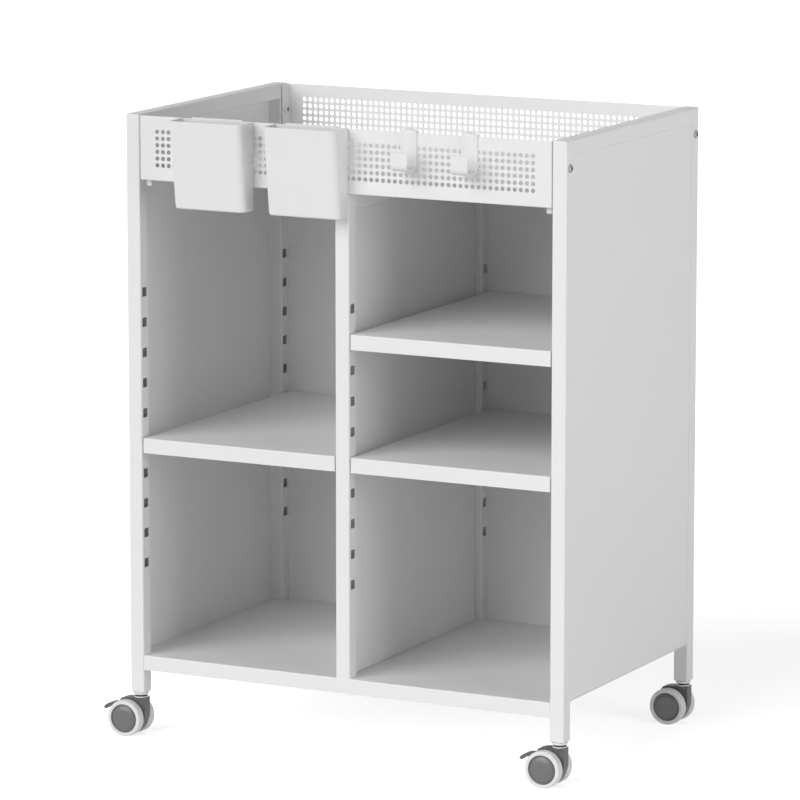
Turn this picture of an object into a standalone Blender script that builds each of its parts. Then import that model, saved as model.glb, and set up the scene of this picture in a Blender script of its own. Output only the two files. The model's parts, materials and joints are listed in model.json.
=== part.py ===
"""Mobile bookcase: a white steel carcass with a railed top tray, hooked shelves, hanging cups
and hooks, and four twin-wheel casters.

Metres, +Z up, front towards -Y. Pieces are placed from the carcass's front left corner on the
floor, and one empty carries them all, so that the centre of the footprint is the origin.
"""

import math

import bmesh
import bpy
from mathutils import Matrix, Vector

# Carcass of square tube and flat sheet
WIDTH = 0.600
DEPTH = 0.385
POST_LENGTH = 0.730
TUBE = 0.019
TUBE_WALL = 0.0012
SHEET = 0.001
PANEL_INSET = 0.001
FIT = 0.0003

# Rails round the top tray, and the small lugs under their ends
RAIL_HEIGHT = 0.080
RAIL_DROP = 0.001
RAIL_SHEET = 0.0012
RAIL_RETURN = 0.017
TRAY_LIP = 0.0095
LUG_WIDTH = 0.007
LUG_DROP = 0.008
LUG_THICKNESS = 0.0025
LUG_INSET = 0.0047
LUG_SETBACK = 0.009

# Bolts that hold the rails to the posts, and the threaded bosses that they screw into
BOLT_DROP = 0.0335
BOLT_RADIUS = 0.0028
BOLT_HEAD_RADIUS = 0.0053
BOLT_HEAD_HEIGHT = 0.0025
BOLT_SOCKET_RADIUS = 0.0020
BOLT_SOCKET_DEPTH = 0.0014
BOSS_RADIUS = 0.0055
BOSS_LENGTH = 0.004

# Bottom shelf, its heights counted from the legs' lower ends
BOTTOM_SHELF_TOP = 0.049
BOTTOM_FRONT_LIP = 0.019
BOTTOM_REAR_LIP = 0.0115

# Slots in the posts, counted from the top one down
SLOT_COUNT = 10
SLOT_TOP = 0.508
SLOT_PITCH = 0.038
SLOT_WIDTH = 0.0108
SLOT_HEIGHT = 0.0115

# Hooked shelves, and the slot that each one hangs in
SHELF_LIP = 0.019
SHELF_RISE = 0.0075
SHELF_END_GAP = 0.0013
SHELF_SETBACK = 0.0005
LEFT_SHELF_SLOT = 5
RIGHT_UPPER_SHELF_SLOT = 1
RIGHT_LOWER_SHELF_SLOT = 5
TAB_THICKNESS = 0.002
TAB_NECK = 0.005
TAB_HOOK_DROP = 0.003
TAB_HOOK_WIDTH = 0.0025

# Hanging cups
CUP_WIDTH = 0.100
CUP_DEPTH = 0.036
CUP_HEIGHT = 0.109
CUP_SIDE_TAPER = 0.0008
CUP_FRONT_TAPER = 0.0125
CUP_WALL = 0.002
CUP_CORNER = 0.010
CUP_LIP_WIDTH = 0.070
CUP_LIP_WALL = 0.0014
CUP_LIP_DROP = 0.012

# Hanging hooks
HOOK_WIDTH = 0.022
HOOK_THICKNESS = 0.0042
HOOK_DROP = 0.0448
HOOK_REACH = 0.024
HOOK_TIP = 0.0235
HOOK_LIP_DROP = 0.016
HOOK_CREST_BEND = 0.0003
HOOK_BASE_BEND = 0.0034

# Free lengths of the front rail between the posts, the cups and the hooks, from the left.
# On a rail of another length they grow or shrink together.
LEFT_MARGIN = 0.060
CUP_SPACING = 0.030
CUP_TO_HOOK = 0.071
HOOK_SPACING = 0.059
RIGHT_MARGIN = 0.098

# Casters: wheels, hood, collar, pins
WHEEL_RADIUS = 0.023
WHEEL_WIDTH = 0.013
WHEEL_SHOULDER = 0.0022
WHEEL_GAP = 0.0005
BODY_WIDTH = 0.013
BODY_MARGIN = 0.002
BODY_FRONT_ANGLE = -20
BODY_REAR_ANGLE = -210
HOOD_MARGIN = 0.0022
HOOD_FRONT_ANGLE = 80
HOOD_REAR_ANGLE = 115
NECK_RISE = 0.0008
TRAIL = 0.015
COLLAR_RADIUS = 0.0085
COLLAR_HEIGHT = 0.0067
COLLAR_GROOVE = 0.0012
PIN_RADIUS = 0.004
PIN_LENGTH = 0.015
PLUG_LENGTH = 0.022
AXLE_RADIUS = 0.003
TYRE_WALL = 0.005
CAP_DEPTH = 0.003
CAP_CROWN = 0.0006
CAP_FALL = 0.0014

# Brake lever of the front casters, its pivot set below the hood's surface, angles in degrees
LEVER_PIVOT_ANGLE = 128.7
LEVER_PIVOT_DEPTH = 0.00905
LEVER_BOSS = 0.0035
LEVER_REACH = 0.0263
LEVER_FALL = 0.0035
LEVER_CROWN_REACH = 0.0174
LEVER_ARCH = 0.0044
LEVER_THICKNESS = 0.0042
LEVER_TIP_THICKNESS = 0.0032
LEVER_TRAVEL = 20
NOTCH_MARGIN = 7

# Facets of the round shapes, and the angle in degrees from which an edge is shaded sharp
WHEEL_SEGMENTS = 24
ROUND_SEGMENTS = 16
ARC_STEPS = 5
CAP_STEPS = 3
SOCKET_SIDES = 6
SHARP_ANGLE = 35

# How far shapes sink into each other before they are joined, and how close points are welded
PIECE_LINK = 0.0002
WELD_DISTANCE = 1e-6

# Colours, roughness and metal of the finishes
POWDER_WHITE = ((0.86, 0.86, 0.86), 0.5, 0.0)
MOULDED_WHITE = ((0.84, 0.84, 0.83), 0.42, 0.0)
MOULDED_GREY = ((0.11, 0.11, 0.115), 0.5, 0.0)
TYRE_GREY = ((0.62, 0.62, 0.62), 0.6, 0.0)
PLATED_STEEL = ((0.62, 0.62, 0.63), 0.3, 1.0)

# Heights and places worked out from the sizes above
HOOD_RADIUS = WHEEL_RADIUS + HOOD_MARGIN
BODY_TOP = WHEEL_RADIUS + HOOD_RADIUS + NECK_RISE
LEG_BOTTOM = BODY_TOP + FIT + COLLAR_HEIGHT
TOP = LEG_BOTTOM + POST_LENGTH
RAIL_TOP = TOP - RAIL_DROP
RAIL_BOTTOM = RAIL_TOP - RAIL_HEIGHT
TRAY_BOTTOM = RAIL_BOTTOM + RAIL_SHEET + FIT
TRAY_FLOOR = TRAY_BOTTOM + TRAY_LIP
DIVIDER_TOP = RAIL_BOTTOM - FIT
SHELF_FLOOR = LEG_BOTTOM + BOTTOM_SHELF_TOP
BOLT_HEIGHT = TOP - BOLT_DROP
DIVIDER_LEFT = (WIDTH - TUBE) / 2
DIVIDER_RIGHT = (WIDTH + TUBE) / 2
BACK_FACE = DEPTH - PANEL_INSET - SHEET
CASTER_HALF_WIDTH = BODY_WIDTH / 2 + WHEEL_GAP + WHEEL_WIDTH
CAP_RADIUS = WHEEL_RADIUS - TYRE_WALL
LEVER_PIVOT_RADIUS = HOOD_RADIUS - LEVER_PIVOT_DEPTH
LEVER_PIVOT_X = LEVER_PIVOT_RADIUS * math.cos(math.radians(LEVER_PIVOT_ANGLE))
LEVER_PIVOT_Z = LEVER_PIVOT_RADIUS * math.sin(math.radians(LEVER_PIVOT_ANGLE))

UPRIGHT = Matrix.Rotation(math.pi / 2, 4, "X")
SIDEWAYS = Matrix.Rotation(math.pi / 2, 4, "Z") @ UPRIGHT
AXIS_TURN = {
    "X": Matrix.Rotation(math.pi / 2, 4, "Y"),
    "Y": Matrix.Rotation(-math.pi / 2, 4, "X"),
    "Z": Matrix.Identity(4),
}


def clear_scene():
    """Removes what the file opened with."""
    for item in list(bpy.data.objects):
        bpy.data.objects.remove(item, do_unlink=True)


def new_piece(mesh):
    """An object for the mesh, in the scene."""
    piece = bpy.data.objects.new(mesh.name, mesh)
    bpy.context.scene.collection.objects.link(piece)
    return piece


def weld(mesh):
    """Closes the mesh's seams and turns its faces outwards."""
    shape = bmesh.new()
    shape.from_mesh(mesh)
    bmesh.ops.remove_doubles(shape, verts=shape.verts, dist=WELD_DISTANCE)
    bmesh.ops.dissolve_degenerate(shape, edges=shape.edges, dist=WELD_DISTANCE)
    bmesh.ops.recalc_face_normals(shape, faces=shape.faces)
    shape.to_mesh(mesh)
    shape.free()


def bake(piece):
    """Makes the evaluated shape the object's own mesh."""
    graph = bpy.context.evaluated_depsgraph_get()
    mesh = bpy.data.meshes.new_from_object(piece.evaluated_get(graph))
    piece.modifiers.clear()
    piece.data = mesh


def blocks(bounds):
    """One object of separate boxes, each from its lowest to its highest corner."""
    shape = bmesh.new()
    for low, high in bounds:
        low, high = Vector(low), Vector(high)
        placing = Matrix.Translation((low + high) / 2) @ Matrix.Diagonal((high - low).to_4d())
        bmesh.ops.create_cube(shape, size=1, matrix=placing)
    mesh = bpy.data.meshes.new("blocks")
    shape.to_mesh(mesh)
    shape.free()
    return new_piece(mesh)


def block(low, high):
    """A box from its lowest to its highest corner."""
    return blocks([(low, high)])


def rod(radius, length, axis, centre):
    """A round bar along X, Y or Z."""
    bpy.ops.mesh.primitive_cylinder_add(vertices=ROUND_SEGMENTS, radius=radius, depth=length)
    piece = bpy.context.object
    piece.data.transform(Matrix.Translation(centre) @ AXIS_TURN[axis])
    return piece


def turned(profile, segments, closed=False):
    """A shape turned about Z from (radius, height) points that run down its outer side."""
    count = len(profile)
    edges = [(i, i + 1) for i in range(count - 1)]
    if closed:
        edges.append((count - 1, 0))
    mesh = bpy.data.meshes.new("turned")
    mesh.from_pydata([(radius, 0, height) for radius, height in profile], edges, [])
    piece = new_piece(mesh)
    screw = piece.modifiers.new("turn", "SCREW")
    screw.steps = segments
    screw.render_steps = segments
    screw.use_merge_vertices = True
    screw.merge_threshold = WELD_DISTANCE
    bake(piece)
    weld(piece.data)
    return piece


def extruded(outline, width, placing):
    """A flat outline of the given width, drawn in XY about Z = 0 and then placed."""
    curve = bpy.data.curves.new("outline", "CURVE")
    curve.dimensions = "2D"
    curve.fill_mode = "BOTH"
    curve.extrude = width / 2
    spline = curve.splines.new("POLY")
    spline.points.add(len(outline) - 1)
    for point, (across, up) in zip(spline.points, outline):
        point.co = (across, up, 0, 1)
    spline.use_cyclic_u = True
    drawn = new_piece(curve)
    graph = bpy.context.evaluated_depsgraph_get()
    mesh = bpy.data.meshes.new_from_object(drawn.evaluated_get(graph))
    bpy.data.objects.remove(drawn)
    weld(mesh)
    mesh.transform(placing)
    return new_piece(mesh)


def combine(piece, operation, others):
    """Applies one Boolean for each of the other objects, which are used up."""
    for other in others:
        tool = piece.modifiers.new(operation.lower(), "BOOLEAN")
        tool.operation = operation
        tool.object = other
    bake(piece)
    for other in others:
        bpy.data.objects.remove(other)
    return piece


def carve(piece, *cutters):
    """Cuts the cutters out of the piece."""
    return combine(piece, "DIFFERENCE", cutters)


def fuse(piece, *others):
    """Joins the others to the piece as one body."""
    return combine(piece, "UNION", others)


def arc(centre, radius, start, end):
    """Points of an arc, its angles in degrees."""
    angles = [start + (end - start) * i / ARC_STEPS for i in range(ARC_STEPS + 1)]
    return [
        (
            centre[0] + radius * math.cos(math.radians(angle)),
            centre[1] + radius * math.sin(math.radians(angle)),
        )
        for angle in angles
    ]


def filleted(points, radii):
    """An open path of straight runs, each inner corner rounded to its own radius."""
    path = [Vector(points[0])]
    for before, corner, after, radius in zip(points, points[1:], points[2:], radii):
        corner = Vector(corner)
        back = (Vector(before) - corner).normalized()
        ahead = (Vector(after) - corner).normalized()
        half = back.angle(ahead) / 2
        centre = corner + (back + ahead).normalized() * radius / math.sin(half)
        start = corner + back * radius / math.tan(half) - centre
        end = corner + ahead * radius / math.tan(half) - centre
        sweep = start.angle_signed(end)
        for step in range(ARC_STEPS + 1):
            turn = Matrix.Rotation(-sweep * step / ARC_STEPS, 2)
            path.append(centre + turn @ start)
    path.append(Vector(points[-1]))
    return path


def strip(path, widths):
    """The outline of a band along an open path, with its width at each point."""
    left, right = [], []
    for index, point in enumerate(path):
        before = path[max(index - 1, 0)]
        after = path[min(index + 1, len(path) - 1)]
        along = (after - before).normalized()
        side = Vector((-along.y, along.x)) * widths[index] / 2
        left.append(point + side)
        right.append(point - side)
    return left + right[::-1]


def finish(name, colour, roughness, metallic):
    """A plain material of the named finish."""
    material = bpy.data.materials.new(name)
    material.use_nodes = True
    shader = material.node_tree.nodes["Principled BSDF"]
    shader.inputs["Base Color"].default_value = (*colour, 1)
    shader.inputs["Roughness"].default_value = roughness
    shader.inputs["Metallic"].default_value = metallic
    return material


def slot_height(number):
    """Height of a slot's centre above the legs' lower ends."""
    return SLOT_TOP - number * SLOT_PITCH


def slots(face_sides, base):
    """Cutters for a post's slots, on its +X or -X face or both, for a post that starts at base."""
    reach = TUBE_WALL + PIECE_LINK
    bounds = []
    for side in face_sides:
        inner, outer = sorted((side * (TUBE / 2 - reach), side * (TUBE / 2 + reach)))
        for number in range(SLOT_COUNT):
            centre = slot_height(number) - base
            low = (inner, -SLOT_WIDTH / 2, centre - SLOT_HEIGHT / 2)
            high = (outer, SLOT_WIDTH / 2, centre + SLOT_HEIGHT / 2)
            bounds.append((low, high))
    return blocks(bounds)


def slotted_post(length, face_sides, base):
    """A square tube, closed at the top and open at the bottom, about its own axis."""
    half = TUBE / 2
    inside = half - TUBE_WALL
    post = block((-half, -half, 0), (half, half, length))
    carve(post, block((-inside, -inside, -TUBE), (inside, inside, length - TUBE_WALL)))
    return carve(post, slots(face_sides, base))


def corner_post():
    """A leg and upright, slotted on its +X face and drilled for a rail bolt."""
    post = slotted_post(POST_LENGTH, [1], 0)
    return carve(post, rod(BOLT_RADIUS + FIT, 2 * TUBE, "X", (0, 0, POST_LENGTH - BOLT_DROP)))


def divider_post():
    """An upright between the bays, slotted on both faces."""
    base = BOTTOM_SHELF_TOP + FIT
    return slotted_post(DIVIDER_TOP - LEG_BOTTOM - base, [-1, 1], base)


def cross_tube():
    """A square tube from a front post to a rear post, about its own middle."""
    half = TUBE / 2
    inside = half - TUBE_WALL
    reach = DEPTH / 2 - TUBE - FIT
    tube = block((-half, -reach, -half), (half, reach, half))
    return carve(tube, block((-inside, -DEPTH, -inside), (inside, DEPTH, inside)))


def notched_block(low, high, notch_x, notch_y):
    """A box with its four upright corners cut away."""
    left, front, bottom = low
    right, back, top = high
    outline = []
    for x_end, x_in, y_end, y_in in (
        (left, left + notch_x, front, front + notch_y),
        (right, right - notch_x, front, front + notch_y),
        (right, right - notch_x, back, back - notch_y),
        (left, left + notch_x, back, back - notch_y),
    ):
        corner = [(x_end, y_in), (x_in, y_in), (x_in, y_end)]
        outline += corner if (x_end == left) == (y_end == front) else corner[::-1]
    return extruded(outline, top - bottom, Matrix.Translation((0, 0, (top + bottom) / 2)))


def folded_shelf(low, high, notch_x, notch_y, rear_lip):
    """A notched sheet with a lip down its front, and one of its own height down its rear."""
    left, front, bottom = low
    right, back, top = high
    below = bottom - SHEET
    shelf = notched_block(low, high, notch_x, notch_y)
    carve(
        shelf,
        block(
            (left - TUBE, front + SHEET, below),
            (right + TUBE, back - SHEET, top - SHEET),
        ),
    )
    if top - rear_lip > bottom:
        carve(shelf, block((left, back - TUBE, below), (right, back + TUBE, top - rear_lip)))
    return shelf


def bottom_shelf():
    """The welded floor of the bays, flush with the posts."""
    low = (PANEL_INSET, 0, SHELF_FLOOR - BOTTOM_FRONT_LIP)
    high = (WIDTH - PANEL_INSET, DEPTH, SHELF_FLOOR)
    return folded_shelf(low, high, TUBE - PANEL_INSET + FIT, TUBE + FIT, BOTTOM_REAR_LIP)


def top_shelf():
    """The floor of the tray, which lies on the ledges of the two rails."""
    side = PANEL_INSET + SHEET + FIT
    front = RAIL_SHEET + FIT
    low = (side, front, TRAY_BOTTOM)
    high = (WIDTH - side, DEPTH - front, TRAY_FLOOR)
    notch_x = TUBE + FIT + RAIL_SHEET + FIT - side
    notch_y = max(TUBE, RAIL_RETURN) + FIT - front
    return folded_shelf(low, high, notch_x, notch_y, TRAY_LIP)


def tray_rail():
    """The front rail: a sheet with two end flanges, a ledge, two lugs and two threaded bosses."""
    left = TUBE + FIT
    right = WIDTH - left
    flange = left + RAIL_SHEET
    rail = block((left, 0, RAIL_BOTTOM), (right, RAIL_RETURN, RAIL_TOP))
    carve(
        rail,
        block(
            (flange, RAIL_SHEET, RAIL_BOTTOM + RAIL_SHEET),
            (WIDTH - flange, RAIL_RETURN + TUBE, RAIL_TOP + TUBE),
        ),
    )
    ledge_middle = RAIL_BOTTOM + RAIL_SHEET / 2
    lug_back = LUG_SETBACK + LUG_THICKNESS
    lug_left = TUBE + LUG_INSET
    lug_right = WIDTH - lug_left
    lugs = blocks(
        [
            (
                (lug_left, LUG_SETBACK, RAIL_BOTTOM - LUG_DROP),
                (lug_left + LUG_WIDTH, lug_back, ledge_middle),
            ),
            (
                (lug_right - LUG_WIDTH, LUG_SETBACK, RAIL_BOTTOM - LUG_DROP),
                (lug_right, lug_back, ledge_middle),
            ),
        ]
    )
    boss_length = BOSS_LENGTH + RAIL_SHEET / 2
    boss_middle = flange - RAIL_SHEET / 2 + boss_length / 2
    axis_y = TUBE / 2
    left_boss = rod(BOSS_RADIUS, boss_length, "X", (boss_middle, axis_y, BOLT_HEIGHT))
    right_boss = rod(BOSS_RADIUS, boss_length, "X", (WIDTH - boss_middle, axis_y, BOLT_HEIGHT))
    fuse(rail, lugs, left_boss, right_boss)
    bore = 4 * (RAIL_SHEET + BOSS_LENGTH)
    left_bore = rod(BOLT_RADIUS + FIT, bore, "X", (left, axis_y, BOLT_HEIGHT))
    right_bore = rod(BOLT_RADIUS + FIT, bore, "X", (right, axis_y, BOLT_HEIGHT))
    carve(rail, left_bore, right_bore)
    rail.data.transform(Matrix.Translation((-WIDTH / 2, -DEPTH / 2, 0)))
    return rail


def rail_bolt():
    """A button-head bolt along Z, its head upwards and the seat of the head at Z = 0."""
    shank = TUBE + 2 * FIT + RAIL_SHEET + BOSS_LENGTH
    dome = [
        (BOLT_HEAD_RADIUS * across, BOLT_HEAD_HEIGHT * up)
        for up, across in arc((0, 0), 1, 0, 90)
    ]
    bolt = turned(
        [
            (0, BOLT_HEAD_HEIGHT),
            *dome[1:],
            (BOLT_RADIUS, 0),
            (BOLT_RADIUS, -shank),
            (0, -shank),
        ],
        ROUND_SEGMENTS,
    )
    bpy.ops.mesh.primitive_cylinder_add(
        vertices=SOCKET_SIDES,
        radius=BOLT_SOCKET_RADIUS,
        depth=2 * BOLT_SOCKET_DEPTH,
        location=(0, 0, BOLT_HEAD_HEIGHT),
    )
    return carve(bolt, bpy.context.object)


def hooked_shelf(left, right, number):
    """A folded shelf between two posts, with a hook at each corner in a slot of the given number."""
    slot_middle = LEG_BOTTOM + slot_height(number)
    top = slot_middle + SHELF_RISE
    bottom = top - SHELF_LIP
    front = SHELF_SETBACK
    back = BACK_FACE - SHELF_END_GAP
    start = left + SHELF_END_GAP
    end = right - SHELF_END_GAP
    shelf = block((start, front, bottom), (end, back, top))
    carve(
        shelf,
        block(
            (start + SHEET, front + SHEET, bottom - SHEET),
            (end - SHEET, back - SHEET, top - SHEET),
        ),
    )
    seat = slot_middle - SLOT_HEIGHT / 2 + FIT
    root = SHELF_END_GAP + SHEET / 2
    hook_start = TUBE_WALL + FIT
    hook_end = hook_start + TAB_HOOK_WIDTH
    profile = [
        (root, seat),
        (root, seat + TAB_NECK),
        (-hook_end, seat + TAB_NECK),
        (-hook_end, seat - FIT - TAB_HOOK_DROP),
        (-hook_start, seat - FIT - TAB_HOOK_DROP),
        (-hook_start, seat),
    ]
    tabs = []
    for post_face, side in ((left, 1), (right, -1)):
        outline = [(post_face + side * across, up) for across, up in profile]
        for middle in (TUBE / 2, DEPTH - TUBE / 2):
            placing = Matrix.Translation((0, middle, 0)) @ UPRIGHT
            tabs.append(extruded(outline, TAB_THICKNESS, placing))
    return fuse(shelf, *tabs)


def tapered_cup(wall, rim, base):
    """The cup's outer form, or its inside where wall is above 0, about the middle of its back."""
    back = -wall
    shape = bmesh.new()
    bmesh.ops.create_cube(shape, size=1)
    for corner in shape.verts:
        at_rim = corner.co.z > 0
        half = CUP_WIDTH / 2 - wall - (0 if at_rim else CUP_SIDE_TAPER)
        front = wall - CUP_DEPTH + (0 if at_rim else CUP_FRONT_TAPER)
        corner.co.x = math.copysign(half, corner.co.x)
        corner.co.y = back if corner.co.y > 0 else front
        corner.co.z = rim if at_rim else base
    front_edges = [
        edge
        for edge in shape.edges
        if all(end.co.y < back for end in edge.verts)
        and edge.verts[0].co.x * edge.verts[1].co.x > 0
    ]
    bmesh.ops.bevel(
        shape,
        geom=front_edges,
        offset=CUP_CORNER - wall,
        segments=ARC_STEPS,
        profile=0.5,
        affect="EDGES",
    )
    mesh = bpy.data.meshes.new("cup")
    shape.to_mesh(mesh)
    shape.free()
    return new_piece(mesh)


def hanging_cup():
    """A cup in front of the rail, with a lip over the rail. X = 0 is its middle."""
    rim = RAIL_TOP
    base = rim - CUP_HEIGHT
    cup = tapered_cup(0, rim, base)
    cup.data.transform(Matrix.Translation((0, -FIT, 0)))
    inside = tapered_cup(CUP_WALL, rim + CUP_WALL, base + CUP_WALL)
    inside.data.transform(Matrix.Translation((0, -FIT, 0)))
    carve(cup, inside)
    front = -FIT - PIECE_LINK
    rear = RAIL_SHEET + FIT
    seat = RAIL_TOP + FIT
    end = RAIL_TOP - CUP_LIP_DROP
    lip = [
        (front - CUP_LIP_WALL, end),
        (front - CUP_LIP_WALL, seat + CUP_LIP_WALL),
        (rear + CUP_LIP_WALL, seat + CUP_LIP_WALL),
        (rear + CUP_LIP_WALL, end),
        (rear, end),
        (rear, seat),
        (front, seat),
        (front, end),
    ]
    return fuse(cup, extruded(lip, CUP_LIP_WIDTH, SIDEWAYS))


def hanging_hook():
    """A hook in front of the rail, its strap bent over the rail. X = 0 is its middle."""
    half = HOOK_THICKNESS / 2
    rear = RAIL_SHEET + FIT + half
    crest = RAIL_TOP + FIT + half
    strap = -FIT - half
    seat = RAIL_TOP - HOOK_DROP + half
    tip = strap - HOOK_REACH
    points = [
        (rear, RAIL_TOP - HOOK_LIP_DROP),
        (rear, crest),
        (strap, crest),
        (strap, seat),
        (tip, seat),
        (tip, seat - half + HOOK_TIP),
    ]
    crest_bend = half + HOOK_CREST_BEND
    base_bend = half + HOOK_BASE_BEND
    path = filleted(points, [crest_bend, crest_bend, base_bend, base_bend])
    return extruded(strip(path, [HOOK_THICKNESS] * len(path)), HOOK_WIDTH, SIDEWAYS)


def caster_stem():
    """The plug in the leg, the collar under it and the swivel pin, about the swivel axis."""
    plug = TUBE / 2 - TUBE_WALL - FIT
    collar_low = BODY_TOP + FIT
    collar_top = LEG_BOTTOM - FIT
    third = (collar_top - collar_low) / 3
    groove = COLLAR_RADIUS - COLLAR_GROOVE
    return turned(
        [
            (0, LEG_BOTTOM + PLUG_LENGTH),
            (plug, LEG_BOTTOM + PLUG_LENGTH),
            (plug, collar_top),
            (COLLAR_RADIUS, collar_top),
            (COLLAR_RADIUS, collar_low + 2 * third),
            (groove, collar_low + 2 * third),
            (groove, collar_low + third),
            (COLLAR_RADIUS, collar_low + third),
            (COLLAR_RADIUS, collar_low),
            (PIN_RADIUS, collar_low),
            (PIN_RADIUS, BODY_TOP - PIN_LENGTH),
            (0, BODY_TOP - PIN_LENGTH),
        ],
        ROUND_SEGMENTS,
    )


def caster_body(with_notch):
    """The hood between the wheels, bored for the pin and the axle, about the swivel axis."""
    axle = (-TRAIL, WHEEL_RADIUS)
    lower = WHEEL_RADIUS - BODY_MARGIN
    right = COLLAR_RADIUS
    left = -COLLAR_RADIUS
    outline = [(right, BODY_TOP), (right, WHEEL_RADIUS + BODY_MARGIN)]
    middle = (BODY_FRONT_ANGLE + BODY_REAR_ANGLE) / 2
    outline += arc(axle, lower, BODY_FRONT_ANGLE, middle)
    outline += arc(axle, lower, middle, BODY_REAR_ANGLE)[1:]
    outline += arc(axle, HOOD_RADIUS, HOOD_REAR_ANGLE, HOOD_FRONT_ANGLE)
    outline.append((left, BODY_TOP))
    body = extruded(outline, BODY_WIDTH, UPRIGHT)
    seat_low = 2 * WHEEL_RADIUS + FIT
    seat = rod(COLLAR_RADIUS, BODY_TOP - seat_low, "Z", (0, 0, (BODY_TOP + seat_low) / 2))
    fuse(body, seat)
    pin_bore = rod(PIN_RADIUS + FIT, 2 * (PIN_LENGTH + FIT), "Z", (0, 0, BODY_TOP))
    axle_bore = rod(AXLE_RADIUS + FIT, 2 * BODY_WIDTH, "Y", (-TRAIL, 0, WHEEL_RADIUS))
    carve(body, pin_bore, axle_bore)
    if with_notch:
        carve(body, lever_notch((axle[0] + LEVER_PIVOT_X, axle[1] + LEVER_PIVOT_Z)))
    return body


def lever_notch(pivot):
    """A cutter for the hood: a round seat for the lever's boss and the room that its blade sweeps."""
    root_angle = 180 - math.degrees(math.atan2(LEVER_ARCH, LEVER_CROWN_REACH))
    root_spread = math.degrees(math.asin(LEVER_THICKNESS / 2 / LEVER_BOSS))
    tip_angle = 180 + math.degrees(math.atan2(LEVER_FALL, LEVER_REACH))
    high = root_angle - root_spread - NOTCH_MARGIN
    low = max(tip_angle, root_angle + root_spread) + LEVER_TRAVEL + NOTCH_MARGIN
    middle = (low + high + 360) / 2
    seat = LEVER_BOSS + FIT
    outline = arc(pivot, seat, low, middle)
    outline += arc(pivot, seat, middle, high + 360)[1:]
    outline += arc(pivot, LEVER_REACH, high, low)
    return extruded(outline, 2 * BODY_WIDTH, UPRIGHT)


def lever_outline():
    """The lever's blade from its pivot, an arch that falls and thins towards its tip."""
    crown = Vector((-LEVER_CROWN_REACH, LEVER_ARCH))
    tip = Vector((-LEVER_REACH, -LEVER_FALL))
    count = 2 * ARC_STEPS
    shares = [i / count for i in range(count + 1)]
    path = [crown * 2 * t * (1 - t) + tip * t**2 for t in shares]
    widths = [LEVER_THICKNESS + (LEVER_TIP_THICKNESS - LEVER_THICKNESS) * t for t in shares]
    return strip(path, widths)


def brake_lever():
    """The lever about its pivot, with the round boss that turns in the hood."""
    width = BODY_WIDTH - 2 * FIT
    blade = extruded(lever_outline(), width, UPRIGHT)
    return fuse(blade, rod(LEVER_BOSS, width - 2 * PIECE_LINK, "Y", (0, 0, 0)))


def caster_axle():
    """The pin through the hood, about its own middle."""
    half = CASTER_HALF_WIDTH - CAP_DEPTH - FIT
    return rod(AXLE_RADIUS, 2 * half, "Y", (0, 0, 0))


def facing_front(piece):
    """Turns a shape that was turned about Z so that +Z faces the front, on a flat of its rim."""
    half_facet = Matrix.Rotation(math.pi / WHEEL_SEGMENTS, 4, "Z")
    piece.data.transform(UPRIGHT @ half_facet)
    return piece


def caster_wheel():
    """A tyre with a seat for its cap, its inner face against the hood. Z = 0 is the hood's middle."""
    flat_to_flat = 1 / math.cos(math.pi / WHEEL_SEGMENTS)
    rim = WHEEL_RADIUS * flat_to_flat
    inner = BODY_WIDTH / 2 + WHEEL_GAP
    outer = inner + WHEEL_WIDTH
    bore = AXLE_RADIUS + FIT
    recess = CAP_RADIUS + FIT
    return facing_front(
        turned(
            [
                (recess, outer),
                (rim - WHEEL_SHOULDER, outer),
                (rim, outer - WHEEL_SHOULDER),
                (rim, inner + WHEEL_SHOULDER),
                (rim - WHEEL_SHOULDER, inner),
                (bore, inner),
                (bore, outer - CAP_DEPTH),
                (recess, outer - CAP_DEPTH),
            ],
            WHEEL_SEGMENTS,
            closed=True,
        )
    )


def wheel_cap():
    """The crowned disc in the tyre's seat. Z = 0 is the hood's middle."""
    outer = CASTER_HALF_WIDTH
    base = outer - CAP_DEPTH + FIT
    shares = [i / CAP_STEPS for i in range(CAP_STEPS + 1)]
    crown = [(CAP_RADIUS * share, outer + CAP_CROWN - CAP_FALL * share**4) for share in shares]
    return facing_front(turned([*crown, (CAP_RADIUS, base), (0, base)], WHEEL_SEGMENTS))


class Assembly:
    """Places finished shapes as named objects under the bookcase's empty."""

    def __init__(self):
        self.collection = bpy.data.collections.new("mobile_bookcase")
        bpy.context.scene.collection.children.link(self.collection)
        left = TUBE / 2 - TRAIL + LEVER_PIVOT_X + min(x for x, z in lever_outline())
        right = WIDTH + FIT + BOLT_HEAD_HEIGHT
        front = -FIT - CUP_DEPTH
        back = DEPTH - TUBE / 2 + CASTER_HALF_WIDTH + CAP_CROWN
        self.root = self.empty("bookcase", (-(left + right) / 2, -(front + back) / 2, 0), None)

    def empty(self, name, location, parent):
        """An empty that carries pieces."""
        marker = bpy.data.objects.new(name, None)
        marker.location = location
        marker.parent = parent
        self.collection.objects.link(marker)
        return marker

    def place(self, name, shape, material, location=(0, 0, 0), turn=(0, 0, 0), parent=None):
        """A named object that uses the shape's mesh."""
        mesh = shape.data
        if not mesh.materials:
            mesh.materials.append(material)
            mesh.shade_smooth()
            mesh.set_sharp_from_angle(angle=math.radians(SHARP_ANGLE))
        piece = bpy.data.objects.new(name, mesh)
        piece.location = location
        piece.rotation_euler = turn
        piece.parent = parent or self.root
        self.collection.objects.link(piece)
        return piece


def discard(*shapes):
    """Removes the shapes that were only modelled to be placed."""
    for shape in shapes:
        bpy.data.objects.remove(shape)


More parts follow.
